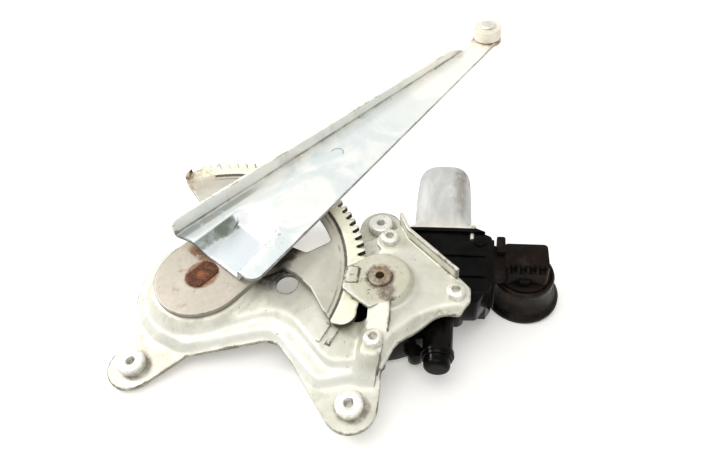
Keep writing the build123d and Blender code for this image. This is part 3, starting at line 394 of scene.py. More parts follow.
def arm_axes(x, y):
    """The distance from the pivot, and the place along and across the arm."""
    dx, dy = x - PIVOT[0], y - PIVOT[1]
    radius = (dx * dx + dy * dy) ** 0.5
    u = dx * math.cos(ARM_TURN) + dy * math.sin(ARM_TURN)
    v = dy * math.cos(ARM_TURN) - dx * math.sin(ARM_TURN)
    return radius, u, v


# --- finishes -------------------------------------------------------------------
def plate_zinc():
    """Dull zinc of the stamped plate, dirty along its cut edges.

    Its levels: lugs 2 mm, ledge 6.5, web 10, pivot pad 12.7, deck 15, dome over the pinion 20.5.
    """
    f = Finish("dull_zinc")
    x, y, z = f.axes
    cloud = f.noise(30, 5, 0.62, bend=0.5)
    f.base(cloud.rise(0.34, 0.66), "zinc_plate", "zinc_pale")
    f.coat(f.patches(0.46, 0.68, 12, 5, 0.66, shift=2.0, bend=0.5) * 0.52, "zinc_olive")
    fine = f.noise(3.0, 5, 0.7, shift=8.0)
    f.coat(fine.rise(0.55, 0.75) * 0.25, "zinc_white")
    # painted light: the drawn wall and the low ledge are painted brighter than the flats, as where the light
    # falls on them
    wall = z.rise(0.0120, 0.0060) * z.rise(0.0015, 0.0035)
    f.coat(wall * 0.40, "zinc_white")
    # the dome over the pinion keeps a yellowed film, with a smear of old grease by its bore
    ragged = (f.noise(5, 4, 0.7, shift=14.0) - 0.5) * 0.006
    dome = f.disc(PINION, 17.0, 0.7) * z.rise(0.0175, 0.0190)
    f.coat(z.rise(0.0135, 0.0145) * (1 - dome) * 0.40, "deck_pale")
    f.coat(dome * (0.45 + fine.rise(0.35, 0.70) * 0.4), "zinc_yellow")
    f.coat(dome * specks(f, 2.0, 1.9, 23.0) * 0.8, "grime")
    smear = f.disc((136.5, 43.5), 4.6, 1.6, ragged).most(f.disc((139.2, 38.6), 2.8, 1.2, ragged))
    smear = smear.most(f.disc(PINION, 8.2, 1.5, ragged))
    f.coat(smear * dome * f.patches(0.28, 0.48, 2.2, 4, 0.7, shift=16.0) * 0.85, "rust_grey")
    for n, at in enumerate(NUTS):
        # painted shadow of each clinch nut, set off to its right, mixed with dirt round its foot
        nut_shadow_and_dirt = f.disc((at[0] + 1.1, at[1] - 0.3), 9.0, 1.3, ragged * 0.4) * z.rise(0.0042, 0.0032)
        f.coat(nut_shadow_and_dirt * (0.36 + f.patches(0.38, 0.62, 4, 4, 0.65, shift=30.0 + n) * 0.4), "rust_grey")
    # painted shadow of the arm on the plate below its open side, in a grease brown
    under = f.disc((66.0, 64.0), 13.0, 6.0, ragged * 1.6).most(
        f.disc((79.0, 72.0), 7.0, 5.0, ragged)) * z.rise(0.0150, 0.0140)
    f.coat(under * (0.55 + fine.rise(0.3, 0.6) * 0.4), "shadow_brown")
    grime = edge_grime(f, 1.1, 0.45)
    # the deck's lower edge is dirty over the worm tube
    low = f.disc((161.0, 22.0), 19.5, 3.0) * z.rise(0.0110, 0.0135)
    band = (f.stored("edge_distance") + (fine - 0.5) * 0.009).rise(0.0034, 0.0012) * low
    grime = grime.most(band * f.patches(0.44, 0.58, 1.8, 4, 0.75, shift=33.0) * 0.8)
    f.coat(grime * 0.80, "grime")
    sides = cut_sides(f) * f.patches(0.30, 0.52, 6, 4, 0.7, shift=12.0)
    f.coat(sides * 0.55, "grime")
    stain = f.patches(0.56, 0.72, 13, 5, 0.64, shift=9.0) * fine.rise(0.35, 0.65)
    left = (0.045 - x).rise(0.0, 0.05).most((0.012 - y).rise(0.0, 0.02) * 0.8)
    f.coat(stain * (0.12 + 0.42 * left), "rust_pale")
    dots = specks(f, 2.6, 0.9).most(specks(f, 5.0, 0.1, 6.0))
    f.coat(dots * 0.85, "grime")
    height = f.noise(1.1, 3, 0.6) * 0.30 + f.noise(7, 3, 0.5) * 0.80 + fine * 0.35 - dots * 0.5
    rough = 0.40 + cloud * 0.16 + grime * 0.3 + under * 0.2
    metal = 0.50 - grime * 0.45 - stain * 0.2 - under * 0.35 - dome * 0.15
    return f.surface(rough, metal, height, 0.14, 0.55)


def sector_zinc():
    """Yellow passivated zinc of the sector, greasy along the teeth and rusty at the shaft; painted shade lies
    on the teeth's flanks and below the arm.

    Its radii: hub 28.5 mm, step of the raised rim 85, roots of the teeth 91.7.
    """
    f = Finish("yellow_zinc")
    x, y, _ = f.axes
    radius, u, v = arm_axes(x, y)
    cloud = f.noise(22, 5, 0.62, bend=0.5)
    fine = f.noise(2.8, 5, 0.7, shift=8.0)
    f.base(cloud.rise(0.34, 0.66), "sector_grey", "sector_pale")
    # the hub has a pinkish film, the toothed rim a cream one
    hub = radius.rise(0.0300, 0.0270)
    f.coat(hub * (0.35 + fine.rise(0.35, 0.65) * 0.45), "hub_pink")
    rim = radius.rise(0.0850, 0.0862)
    f.coat(rim * 0.85, "rim_cream")
    ragged = f.noise(2.2, 4, 0.7, shift=5.0)
    # dirt lies in the step below the toothed rim and fills the roots of the teeth
    end = f.disc(SECTOR_END, 10.2, 1.0)
    groove = abs(radius - 0.0846 + (ragged - 0.5) * 0.0010).rise(0.0013, 0.0005) * (1 - end)
    f.coat(groove * 0.85, "shadow_brown")
    second = abs(radius - 0.0815 + (ragged - 0.5) * 0.0014).rise(0.0008, 0.0002)
    f.coat(second * f.patches(0.42, 0.55, 16, 2, 0.5) * (1 - end) * 0.5, "grime")
    # the cut sides are darkened with grease; on the teeth's flanks this is painted near black, as painted
    # shade in the tooth gaps
    sides = cut_sides(f)
    f.coat(sides * (0.45 + 0.53 * radius.rise(0.0860, 0.0885)), "shadow_brown")
    grime = edge_grime(f, 0.9, 0.35)
    f.coat(grime * 0.75, "grime")
    # painted shadow below the arm's open side: the sheet is painted near black in a grease brown
    wobble = (f.noise(8, 4, 0.65, shift=21.0) - 0.5) * 0.010
    under = abs(v + 0.0285 + wobble).rise(0.0105, 0.0035) * u.rise(0.016, 0.034) * u.rise(0.078, 0.056)
    f.coat(under * 0.97, "shadow_brown")
    ring = (radius + (ragged - 0.5) * 0.003).rise(0.0112, 0.0092)
    front = (abs(v - 0.012 + (u - 0.010) * -0.15 + wobble * 0.4).rise(0.0140, 0.0080)
             * abs(u - 0.0098 + wobble * 0.3).rise(0.0056, 0.0034))
    blot = f.patches(0.57, 0.70, 7, 5, 0.68, shift=8.0) * radius.rise(0.034, 0.012)
    rust = ring.most(blot * 0.6).most(front * f.patches(0.30, 0.50, 3.5, 4, 0.7, shift=31.0))
    f.coat(rust * 0.88, f.mix(f.patches(0.35, 0.7, 1.6, 4, 0.7), "rust", "rust_pale"))
    tan = f.patches(0.50, 0.72, 12, 5, 0.65, shift=11.0)
    tan = tan.most(end * f.patches(0.36, 0.56, 5, 4, 0.7, shift=41.0) * 1.9)
    outline = (f.stored("edge_distance") + (fine - 0.5) * 0.003).rise(0.0030, 0.0008) * end
    f.coat(outline * f.patches(0.40, 0.56, 3, 4, 0.7, shift=43.0) * 0.7, "rust_grey")
    f.coat(tan * 0.34, "tan")
    dots = specks(f, 2.4, 1.0, 2.0)
    f.coat(dots * 0.8, "grime")
    height = f.noise(0.9, 3, 0.6) * 0.4 + f.noise(5) * 0.6
    height = height + rust * f.noise(1.3, 4, 0.75) * 1.2 - groove * 1.5
    dull = (rust + grime + under + sides * 0.6).least(1.0)
    return f.surface(0.42 + cloud * 0.16 + rust * 0.25 + under * 0.15, 0.42 - dull * 0.40, height, 0.12, 0.55)


def arm_zinc():
    """Bright bluish zinc of the arm, with faint brown marks beside the fold and a brown tip.

    Its floor is 27 mm up; u runs from the pivot to the tip, v across.
    """
    f = Finish("bright_zinc")
    x, y, z = f.axes
    _, u, v = arm_axes(x, y)
    past_fold = v - (FOLD - u * FOLD_SLOPE)
    cloud = f.noise(30, 5, 0.58, bend=0.9)
    f.base(cloud.rise(0.40, 0.60), "zinc_blue", "zinc_white")
    along = f.noise(22, stretch=(0.35, 2.6, 1), turn=-ARM_TURN, shift=4.0)
    f.coat(along.rise(0.48, 0.70) * 0.16 * (1 - u.rise(0.12, 0.26)), "zinc_pale")
    far = u.rise(0.12, 0.26)
    film = f.noise(18, shift=2.0)
    f.coat(far * (0.65 + film.rise(0.4, 0.7) * 0.35), "arm_cream")
    # the pressed pocket is bluer, with a bright fold of reflected light across it
    pocket = z.rise(0.0266, 0.0258) * u.rise(0.075, 0.060)
    floor = z.rise(0.0180, 0.0170) * pocket
    f.coat(pocket * 0.85, "pocket_blue")
    f.coat(floor * 0.6, "pocket_floor")
    ramp = pocket * u.rise(0.0365, 0.0385) * v.rise(-0.0190, -0.0165)
    f.coat(ramp * 0.92, "glare")
    flare = f.patches(0.50, 0.53, 13, 2, 0.4, shift=17.0) * floor * u.rise(0.022, 0.026)
    f.coat(flare * 0.80, "glare")
    soft = f.noise(9, shift=19.0)
    # painted shade on the pocket's left wall
    left = pocket * (v + (soft - 0.5) * 0.004).rise(0.0080, 0.0100) * (1 - ramp)
    f.coat(left * (0.55 + soft.rise(0.35, 0.6) * 0.4), "olive_dark")
    right = pocket * v.rise(-0.0185, -0.0205)
    f.coat(right * 0.6, "arm_cream")
    # painted shade: a thin dark line along the pocket's right rim
    lip = abs(z - 0.0262 + (soft - 0.5) * 0.0006).rise(0.00042, 0.00012)
    lip = lip * v.rise(-0.0140, -0.0170) * u.rise(0.062, 0.050)
    f.coat(lip * f.patches(0.36, 0.52, 5, 3, 0.6, shift=23.0) * 0.55, "grime")
    # grey line beside the fold, with brown runs here and there
    wander = (f.noise(9, 3, 0.6, shift=6.0) - 0.5) * 0.005
    fold = abs(past_fold + 0.0018 + wander).rise(0.0040, 0.0006)
    f.coat(fold * u.rise(0.03, 0.07) * 0.14, "zinc_olive")
    upstand = past_fold.rise(-0.0006, 0.0008)
    f.coat(upstand * 0.85, "arm_cream")
    f.coat(upstand * u.rise(0.13, 0.03) * 0.50, "flange_grey")
    # painted shade along the foot of the upstand, near the pivot
    foot = abs(past_fold + 0.0036).rise(0.0034, 0.0014) * u.rise(0.072, 0.052)
    f.coat(foot * soft.rise(0.16, 0.42) * 0.60, "olive_dark")
    smudge = f.patches(0.54, 0.68, 7, 5, 0.7, stretch=(0.6, 1.4, 1), turn=-ARM_TURN, shift=27.0)
    f.coat(upstand * smudge * 0.30, "tan")
    run = fold * f.patches(0.50, 0.66, 24, 4, 0.65, stretch=(0.5, 1.6, 1), turn=-ARM_TURN, shift=8.0)
    f.coat(run * 0.26, "rust_pale")
    grime = edge_grime(f, 0.8, 0.40)
    f.coat(grime * (0.55 + 0.25 * far), "grime")
    sides = cut_sides(f) * z.rise(0.0305, 0.0295)
    f.coat(sides * (0.30 + film.rise(0.35, 0.6) * 0.35), "grime")
    rusty = f.noise(4.0, 5, 0.72, shift=1.0)
    tip = u.rise(0.270, 0.284) * rusty.rise(0.36, 0.56)
    f.coat(tip * 0.85, "rust_pale")
    # speckled rust at the root's open corner, and a half round press mark in the middle
    root = f.disc((69.0, 73.0), 7.0, 5.0) * f.patches(0.55, 0.61, 2.4, 5, 0.78, shift=3.0)
    f.coat(root * 0.70, "rust")
    mark_x, mark_y, mark_r = 0.0940, 0.1500, 0.0040
    dx, dy = x - mark_x, y - mark_y
    mark = abs((dx * dx + dy * dy) ** 0.5 - mark_r)
    half = mark.rise(0.0006, 0.0002) * (dx * 0.3 + dy).rise(-0.0012, 0.0004)
    f.coat(half * 0.55, "grime")
    dots = specks(f, 2.6, 0.7, 4.0)
    f.coat(dots * 0.7, "grime")
    height = f.noise(1.0, 3, 0.6) * 0.25 + f.noise(11, 3, 0.5) * 0.9 + root * 0.8 - half * 1.5
    dull = (run * 0.5 + root + grime + tip * 0.6 + sides * 0.4).least(1.0)
    return f.surface(0.32 + cloud * 0.16 + far * 0.10 + run * 0.2, 0.30 - dull * 0.28, height, 0.14, 0.45)


def small_zinc(name, tone_a, tone_b, rusty=0.3, centres=(), bore=2.6, rim=5.2):
    """Bright plating of nuts, screws and small covers, with painted shade in their bores and round their
    feet.
    """
    f = Finish(name)
    cloud = f.noise(6)
    f.base(cloud.rise(0.36, 0.64), tone_a, tone_b)
    blot = f.patches(0.64 - rusty * 0.08, 0.74, 2.6, 4, 0.7, shift=3.0)
    f.coat(blot * rusty, "rust_pale")
    dirt = f.patches(0.61, 0.68, 1.3, 4, 0.7, shift=7.0)
    f.coat(dirt * 0.65, "grime")
    patchy = f.noise(2.2, 4, 0.7, shift=9.0)
    # painted shade: darker in each bore or recess, and in a ring round the head's foot
    for at in centres:
        inside = f.disc(at, bore, 0.25, (patchy - 0.5) * 0.0008)
        outside = f.disc(at, rim + 3.0, 0.1) * f.disc(at, rim - 0.1, -0.35)
        f.coat(inside * (0.10 + patchy.rise(0.42, 0.60) * 0.35), "rust_grey")
        f.coat(outside * patchy.rise(0.42, 0.62) * 0.30, "rust_grey")
    return f.surface(0.24 + cloud * 0.20, 0.62 - blot * rusty * 0.4, f.noise(0.7, 3, 0.6), 0.06, 0.5)


def rusty_steel():
    """Bare steel gone brown, lighter where the lathe left its centre."""
    f = Finish("rusty_steel")
    cloud = f.noise(3.4, 5, 0.7, bend=0.5)
    f.base(cloud.rise(0.44, 0.72), "rust_dark", "rust")
    f.coat(f.patches(0.56, 0.68, 1.4, 4, 0.7, shift=4.0) * 0.7, "rust_pale")
    middle = f.disc((26.4, 53.0), 2.4, 1.2, (cloud - 0.5) * 0.003)
    f.coat(middle * 0.65, "rust_bright")
    return f.surface(0.62 + cloud * 0.25, 0.15, f.noise(0.9, 5, 0.75) + cloud * 0.8, 0.25, 0.8)


def turned_steel(name, tone, lines, oily):
    """Machined steel with a film of old grease."""
    f = Finish(name)
    cloud = f.noise(5)
    grease = f.patches(0.44, 0.62, 4.4, 4, 0.65, shift=6.0)
    f.base(cloud.rise(0.3, 0.7), tone, "zinc_plate")
    f.coat(grease * oily, "grease")
    return f.surface(0.28 + grease * 0.2, 0.85 - grease * 0.5 * oily, f.noise(lines, 2, 0.5), 0.04, 0.5)


def moulded_black(name, tone, dust):
    """Glass-filled black plastic: fine grain, scuffs and a little dust."""
    f = Finish(name)
    cloud = f.noise(18)
    grain = f.noise(0.45, 3, 0.6)
    f.base(cloud.rise(0.35, 0.7), tone, "plastic_grey")
    scuff = f.patches(0.60, 0.74, 5, 5, 0.72, stretch=(3.0, 0.6, 1), turn=0.5, shift=3.0)
    f.coat(scuff * 0.12, "dust")
    settle = f.patches(0.48, 0.74, 9, 5, 0.7, shift=6.0)
    f.coat(settle * dust * 0.3, "dust")
    dots = specks(f, 1.9, 0.5, 3.0)
    f.coat(dots * 0.35, "dust")
    # painted highlights on the rounded edges, mixed with wear
    rubbed = f.stored("worn") * f.patches(0.42, 0.56, 7, 4, 0.65, shift=12.0)
    f.coat(rubbed * 0.85, "rubbed")
    return f.surface(0.16 + scuff * 0.18 + settle * 0.10 + grain * 0.05, 0.0,
                     grain * 0.3 + f.noise(7, 3, 0.5) * 0.9, 0.07, 0.7, Specular_IOR_Level=0.13)


def bell_rubber():
    """Brown-black rubber, glossy where it is rubbed."""
    f = Finish("rubber")
    cloud = f.noise(11)
    f.base(cloud.rise(0.4, 0.7), "rubber", "rubber_brown")
    dusty = f.patches(0.52, 0.74, 5, 5, 0.7, shift=4.0)
    f.coat(dusty * 0.16, "dust")
    return f.surface(0.26 + dusty * 0.25, 0.0, f.noise(0.8, 3, 0.6) * 0.5 + cloud * 0.5, 0.08, 0.5,
                     Specular_IOR_Level=0.20)


def can_steel():
    """Grey plated steel of the motor can, with a brown run down one side."""
    f = Finish("can_plating")
    x, y, _ = f.axes
    cloud = f.noise(16, stretch=(1.6, 0.6, 1), bend=0.5)
    f.base(cloud.rise(0.36, 0.66), "can_grey", "can_pale")
    run = abs(x - 0.1745 + (f.noise(14, 3, 0.6, shift=2.0) - 0.5) * 0.008).rise(0.0055, 0.001)
    run = run * y.rise(0.104, 0.118) * f.patches(0.38, 0.62, 12, 4, 0.65, stretch=(1, 0.5, 1), shift=5.0)
    f.coat(run * 0.62, "can_brown")
    corner = f.disc((177.5, 149.0), 6.0, 2.5, (cloud - 0.5) * 0.010)
    f.coat(corner * f.patches(0.36, 0.60, 4, 4, 0.7, shift=25.0) * 0.55, "can_brown")
    low = (y + (f.noise(7, 4, 0.65, shift=8.0) - 0.5) * 0.010).rise(0.112, 0.101)
    f.coat(low * 0.40, "tan_pale")
    patch = f.patches(0.56, 0.70, 9, 5, 0.6, shift=12.0)
    f.coat(patch * 0.20, "zinc_white")
    dots = specks(f, 2.4, 0.2, 7.0)
    f.coat(dots * 0.5, "can_brown")
    return f.surface(0.42 + cloud * 0.18 + run * 0.15, 0.35 - run * 0.2,
                     f.noise(0.9, 3, 0.6) * 0.5 + cloud * 0.5, 0.08, 0.5)


def acetal():
    """Milky white plastic of the roller, bush and wheel."""
    f = Finish("white_acetal")
    cloud = f.noise(7)
    f.base(cloud.rise(0.35, 0.7), "acetal", "tan_pale")
    grease = f.patches(0.58, 0.72, 4, 4, 0.7, shift=3.0)
    f.coat(grease * 0.4, "grease")
    return f.surface(0.42, 0.0, f.noise(0.8, 3, 0.6), 0.04, 0.4)


def plain_metal(name, one, two, rough=0.35, size=3.0, metal=0.9, lines=None):
    """Clean inner metal: copper, bronze, laminated iron or tin."""
    f = Finish(name)
    cloud = f.noise(size)
    f.base(cloud.rise(0.35, 0.65), one, two)
    height = f.noise(0.6, 3, 0.6)
    if lines:
        layered = f.noise(lines, 1, 0.4, stretch=(0.02, 1, 0.02))
        f.coat(layered.rise(0.45, 0.6) * 0.4, (0.02, 0.02, 0.02))
        height = height * 0.3 + layered
    return f.surface(rough + cloud * 0.15, metal, height, 0.05, 0.5)


def floor_paint():
    """Pale table top."""
    f = Finish("pale_table")
    cloud = f.noise(160, 3, 0.5)
    f.base(cloud.rise(0.3, 0.7), "floor", tuple(0.985 * c for c in colour("floor")))
    return f.surface(0.75, 0.0, f.noise(2.5, 2, 0.5), 0.02, 0.2, Specular_IOR_Level=0.2,
                     Emission_Color=(1.0, 0.985, 0.955, 1.0), Emission_Strength=0.18)


RECIPES = {
    "plate": (plate_zinc,),
    "sector": (sector_zinc,),
    "arm": (arm_zinc,),
    "nut": (small_zinc, "nut_zinc", "arm_cream", "zinc_white", 0.35, NUTS, 2.9, 7.1),
    "screw": (small_zinc, "screw_zinc", "zinc_pale", "arm_cream", 0.55, MOTOR_SCREWS),
    "lid": (small_zinc, "lid_zinc", "zinc_plate", "zinc_blue", 0.3),
    "rust": (rusty_steel,),
    "steel": (turned_steel, "turned_steel", "steel", 0.35, 0.5),
    "spring": (turned_steel, "spring_steel", "spring", 0.5, 0.4),
    "greasy": (turned_steel, "greasy_steel", "rust_pale", 0.5, 0.7),
    "black": (moulded_black, "moulded_black", "plastic", 0.25),
    "connector": (moulded_black, "connector_black", "plastic_brown", 0.9),
    "card": (moulded_black, "card_black", "plastic", 0.1),
    "rubber": (bell_rubber,),
    "can": (can_steel,),
    "acetal": (acetal,),
    "bronze": (plain_metal, "sintered_bronze", (0.45, 0.30, 0.14), (0.36, 0.24, 0.12), 0.5),
    "copper": (plain_metal, "enamelled_copper", (0.55, 0.20, 0.07), (0.38, 0.12, 0.05), 0.3, 2.0, 0.8, 0.5),
    "bars": (plain_metal, "commutator_copper", (0.72, 0.38, 0.22), (0.55, 0.28, 0.16), 0.25),
    "laminations": (plain_metal, "laminations", (0.32, 0.33, 0.35), (0.24, 0.24, 0.26), 0.4, 6.0, 0.8, 0.5),
    "ferrite": (plain_metal, "ferrite", (0.045, 0.045, 0.05), (0.07, 0.07, 0.075), 0.6, 4.0, 0.0),
    "carbon": (plain_metal, "carbon", (0.03, 0.03, 0.032), (0.05, 0.05, 0.05), 0.5, 1.5, 0.1),
    "tin": (plain_metal, "tinned_brass", (0.62, 0.62, 0.60), (0.50, 0.49, 0.45), 0.3),
    "floor": (floor_paint,),
}
MADE = {}


def finish(look):
    """The material of that look, made once."""
    if look not in MADE:
        maker, *values = RECIPES[look]
        MADE[look] = maker(*values)
    return MADE[look]


# --- geometry nodes ----------------------------------------------------------------
class Tree(Nodes):
    """A geometry node tree with named inputs, ending in Realize Instances and Set Material.

    Inputs that start as floats are lengths in millimetres.
    """

    def __init__(self, name, inputs):
        self.tree = bpy.data.node_groups.new(name, "GeometryNodeTree")
        face = self.tree.interface
        face.new_socket("Geometry", in_out="INPUT", socket_type="NodeSocketGeometry")
        self.inputs = {}
        for label, value in {**inputs, "Material": None}.items():
            kind = {float: "Float", int: "Int", tuple: "Vector"}.get(type(value), "Material")
            socket = face.new_socket(label, in_out="INPUT", socket_type="NodeSocket" + kind)
            if value is not None:
                socket.default_value = value
            self.inputs[label] = socket.identifier
        face.new_socket("Geometry", in_out="OUTPUT", socket_type="NodeSocketGeometry")
        self.start = self.tree.nodes.new("NodeGroupInput")

    def given(self, label):
        """An input of the tree."""
        return Level(self, self.start.outputs[label])

    def mm(self, label):
        """An input in millimetres, as metres."""
        return self.given(label) * MM

    def up(self, height):
        """A vector straight up."""
        return self.node("ShaderNodeCombineXYZ", {2: height})

    def raised(self, kind, height, **values):
        """A primitive with its sockets' values, lifted to a height."""
        shape = self.node("GeometryNodeMesh" + kind, {k.replace("_", " "): v for k, v in values.items()})
        return self.node("GeometryNodeTransform", {"Geometry": shape, "Translation": self.up(height)})

    def cut(self, operation, values):
        """An exact boolean."""
        return self.node("GeometryNodeMeshBoolean", values, operation=operation, solver="EXACT")

    def close(self, shape, **values):
        """Stands the shape on every point of the input and ends the tree."""
        placed = self.node("GeometryNodeInstanceOnPoints", {
            "Points": self.given("Geometry"), "Instance": shape, **values})
        solid = self.node("GeometryNodeRealizeInstances", {"Geometry": placed})
        self.node("NodeGroupOutput", {0: self.node("GeometryNodeSetMaterial", {
            "Geometry": solid, "Material": self.given("Material")})}, None)
        return self


def grown(name, tree, points, look, slot, stands_for=None, smooth=38.0, **values):
    """Runs a tree on points in millimetres and keeps the mesh it gives, as a piece of the base."""
    seed = bpy.data.meshes.new(name + "_points")
    seed.from_pydata([[c * MM for c in p] for p in points], [], [])
    thing = linked(name, seed)
    modifier = thing.modifiers.new("grow", "NODES")
    modifier.node_group = tree.tree
    modifier[tree.inputs["Material"]] = finish(look)
    for label, value in values.items():
        modifier[tree.inputs[label.replace("_", " ")]] = value
    ready = thing.evaluated_get(bpy.context.evaluated_depsgraph_get())
    data = bpy.data.meshes.new_from_object(ready)
    thing.modifiers.clear()
    thing.data = data
    if not data.polygons:
        raise RuntimeError(f"{name} came out empty")
    place(thing, "base", stands_for, smooth)


def screw_tree():
    """Screws: a head with a chamfered crown and a driven recess, over a shank."""
    t = Tree("screw", {
        "Head radius": 5.35, "Head height": 4.0, "Recess radius": 2.6, "Recess depth": 2.4,
        "Recess corners": 6, "Crown": 1.1, "Shank radius": 2.85, "Shank length": 10.3,
        "Turn": (0.0, 0.0, 0.0)})
    head_r, head_h, crown = t.mm("Head radius"), t.mm("Head height"), t.mm("Crown")
    recess, shank = t.mm("Recess depth"), t.mm("Shank length")
    foot = head_h - crown
    parts = [t.raised("Cylinder", foot * 0.5, Vertices=48, Radius=head_r, Depth=foot)]
    # the crown is two cones, so the head's edge is round
    for low, high, start, span in ((1.0, 0.91, 0.0, 0.55), (0.91, 0.74, 0.55, 0.45)):
        parts.append(t.raised("Cone", foot + crown * start, Vertices=48, Radius_Bottom=head_r * low,
                              Radius_Top=head_r * high, Depth=crown * span))
    drive = t.raised("Cylinder", head_h, Vertices=t.given("Recess corners"), Radius=t.mm("Recess radius"),
                     Depth=recess * 2.0)
    head = t.cut("DIFFERENCE", {0: t.cut("UNION", {1: parts}), 1: drive})
    shaft = t.raised("Cylinder", shank * -0.5, Vertices=32, Radius=t.mm("Shank radius"), Depth=shank)
    return t.close(t.node("GeometryNodeJoinGeometry", {0: [head, shaft]}),
                   Rotation=t.node("FunctionNodeEulerToRotation", {0: t.given("Turn")}))


def thread_tree():
    """Rings of a thread on the wall of a bore, stacked by the pitch."""
    t = Tree("bore_thread", {"Bore radius": 2.65, "Pitch": 1.0, "Turns": 6, "Depth": 0.42})
    bore, ridge = (t.node("GeometryNodeCurvePrimitiveCircle", {"Resolution": corners, "Radius": t.mm(label)},
                          mode="RADIUS") for corners, label in ((40, "Bore radius"), (6, "Depth")))
    ring = t.node("GeometryNodeCurveToMesh", {"Curve": bore, "Profile Curve": ridge})
    stack = t.node("GeometryNodeMeshLine", {"Count": t.given("Turns"), "Offset": t.up(t.mm("Pitch"))},
                   mode="OFFSET", count_mode="TOTAL")
    return t.close(t.node("GeometryNodeInstanceOnPoints", {"Points": stack, "Instance": ring}))


# --- settings ---------------------------------------------------------------------
def number(name, description, default, low, high, unit="LENGTH"):
    """A number property, a length in metres unless told otherwise."""
    return bpy.props.FloatProperty(
        name=name, description=description, default=default, min=low, max=high, unit=unit)


def tint(name, value):
    """A colour property, linear."""
    return bpy.props.FloatVectorProperty(name=name, default=value, size=3, min=0.0, max=1.0, subtype="COLOR")


class RegulatorSizes(bpy.types.PropertyGroup):
    """Sizes and lights that the dressing uses."""

    bend: number("Bend", "How far the press rounds the plate's bends", 1.15 * MM, 0.2 * MM, 3 * MM)
    grid: number("Grid", "Longest edge of the pressed pieces' meshes", 1.9 * MM, 1 * MM, 6 * MM)
    edge: number("Edge", "Rounding of the moulded pieces' edges", 0.45 * MM, 0.05 * MM, 1 * MM)
    table: number("Table", "Width of the table top", 20.0, 1.0, 20.0)
    key: number("Key light", "Power of the main lamp, in watts", 6.0, 0.0, 500.0, "NONE")
    sky: number("Sky", "Strength of the room's light", 0.62, 0.0, 5.0, "NONE")


class RegulatorColours(bpy.types.PropertyGroup):
    """Colours of the finishes, linear."""

    zinc_plate: tint("Dull zinc of the plate", (0.60, 0.59, 0.505))
    zinc_pale: tint("Lighter clouds on the plate", (0.73, 0.72, 0.64))
    deck_pale: tint("Paler plating of the gearbox deck", (0.76, 0.75, 0.68))
    zinc_olive: tint("Greenish clouds on the plate", (0.42, 0.42, 0.33))
    zinc_yellow: tint("Passivated film on the pinion's dome", (0.56, 0.54, 0.42))
    zinc_blue: tint("Bluish plating of the arm", (0.675, 0.735, 0.74))
    zinc_white: tint("Brightest plating", (0.83, 0.84, 0.815))
    arm_cream: tint("Yellowed plating towards the arm's tip", (0.98, 0.965, 0.88))
    pocket_blue: tint("Blue plating in the arm's pressed pocket", (0.66, 0.71, 0.74))
    pocket_floor: tint("Greyer plating on the pocket's floor", (0.58, 0.61, 0.62))
    flange_grey: tint("Beige film on the arm's upstand", (0.84, 0.81, 0.75))
    glare: tint("Reflected light in the pocket", (0.97, 0.98, 1.0))
    # painted shade on the pocket's left wall and along the upstand's foot
    olive_dark: tint("Shade on the pocket's wall", (0.17, 0.20, 0.16))
    sector_grey: tint("Grey-green plating of the sector", (0.50, 0.49, 0.42))
    sector_pale: tint("Lighter clouds on the sector", (0.60, 0.57, 0.51))
    hub_pink: tint("Pinkish film on the sector's hub", (0.49, 0.435, 0.375))
    rim_cream: tint("Cream film on the toothed rim", (0.92, 0.89, 0.73))
    # painted shadow under the arm and on the teeth's flanks, and thick old grease in the rim's step
    shadow_brown: tint("Painted shadow, and thick old grease", (0.022, 0.017, 0.011))
    # grease mixed with rust on the dome and the sector's lobe; also painted shade round the nuts and in the
    # bores of nuts and screws
    rust_grey: tint("Grease mixed with rust, and painted shade", (0.17, 0.135, 0.11))
    rust_bright: tint("Fresh rust", (0.36, 0.13, 0.06))
    tan: tint("Brownish film", (0.50, 0.42, 0.30))
    tan_pale: tint("Yellowed film", (0.74, 0.68, 0.56))
    rust: tint("Rust", (0.20, 0.08, 0.035))
    rust_pale: tint("Thin rust", (0.38, 0.22, 0.12))
    rust_dark: tint("Old rust", (0.09, 0.035, 0.018))
    grime: tint("Dirt along edges", (0.075, 0.060, 0.042))
    grease: tint("Old grease", (0.16, 0.125, 0.07))
    steel: tint("Machined steel", (0.46, 0.44, 0.40))
    spring: tint("Spring steel", (0.16, 0.16, 0.17))
    plastic: tint("Housing", (0.0035, 0.0033, 0.0032))
    plastic_grey: tint("Lighter clouds of the housing", (0.008, 0.0075, 0.007))
    plastic_brown: tint("Connector", (0.020, 0.011, 0.007))
    dust: tint("Dust on black parts", (0.075, 0.060, 0.050))
    # painted highlights and wear on the black parts' rounded edges
    rubbed: tint("Painted highlights and wear on the black parts' edges", (0.21, 0.19, 0.165))
    rubber: tint("Seal", (0.007, 0.006, 0.005))
    rubber_brown: tint("Lighter clouds of the seal", (0.034, 0.019, 0.012))
    can_grey: tint("Motor can", (0.52, 0.525, 0.52))
    can_pale: tint("Lighter clouds of the can", (0.66, 0.665, 0.655))
    can_brown: tint("Brown run on the can", (0.24, 0.20, 0.16))
    acetal: tint("White plastic", (0.80, 0.77, 0.68))
    floor: tint("Table top", (0.90, 0.895, 0.88))


# --- pieces -----------------------------------------------------------------------
def smooth_step(value, low, high):
    """0 at low, 1 at high, a smooth step between, on a number or an array."""
    part = np.clip((value - low) / (high - low), 0, 1)
    return part * part * (3 - 2 * part)


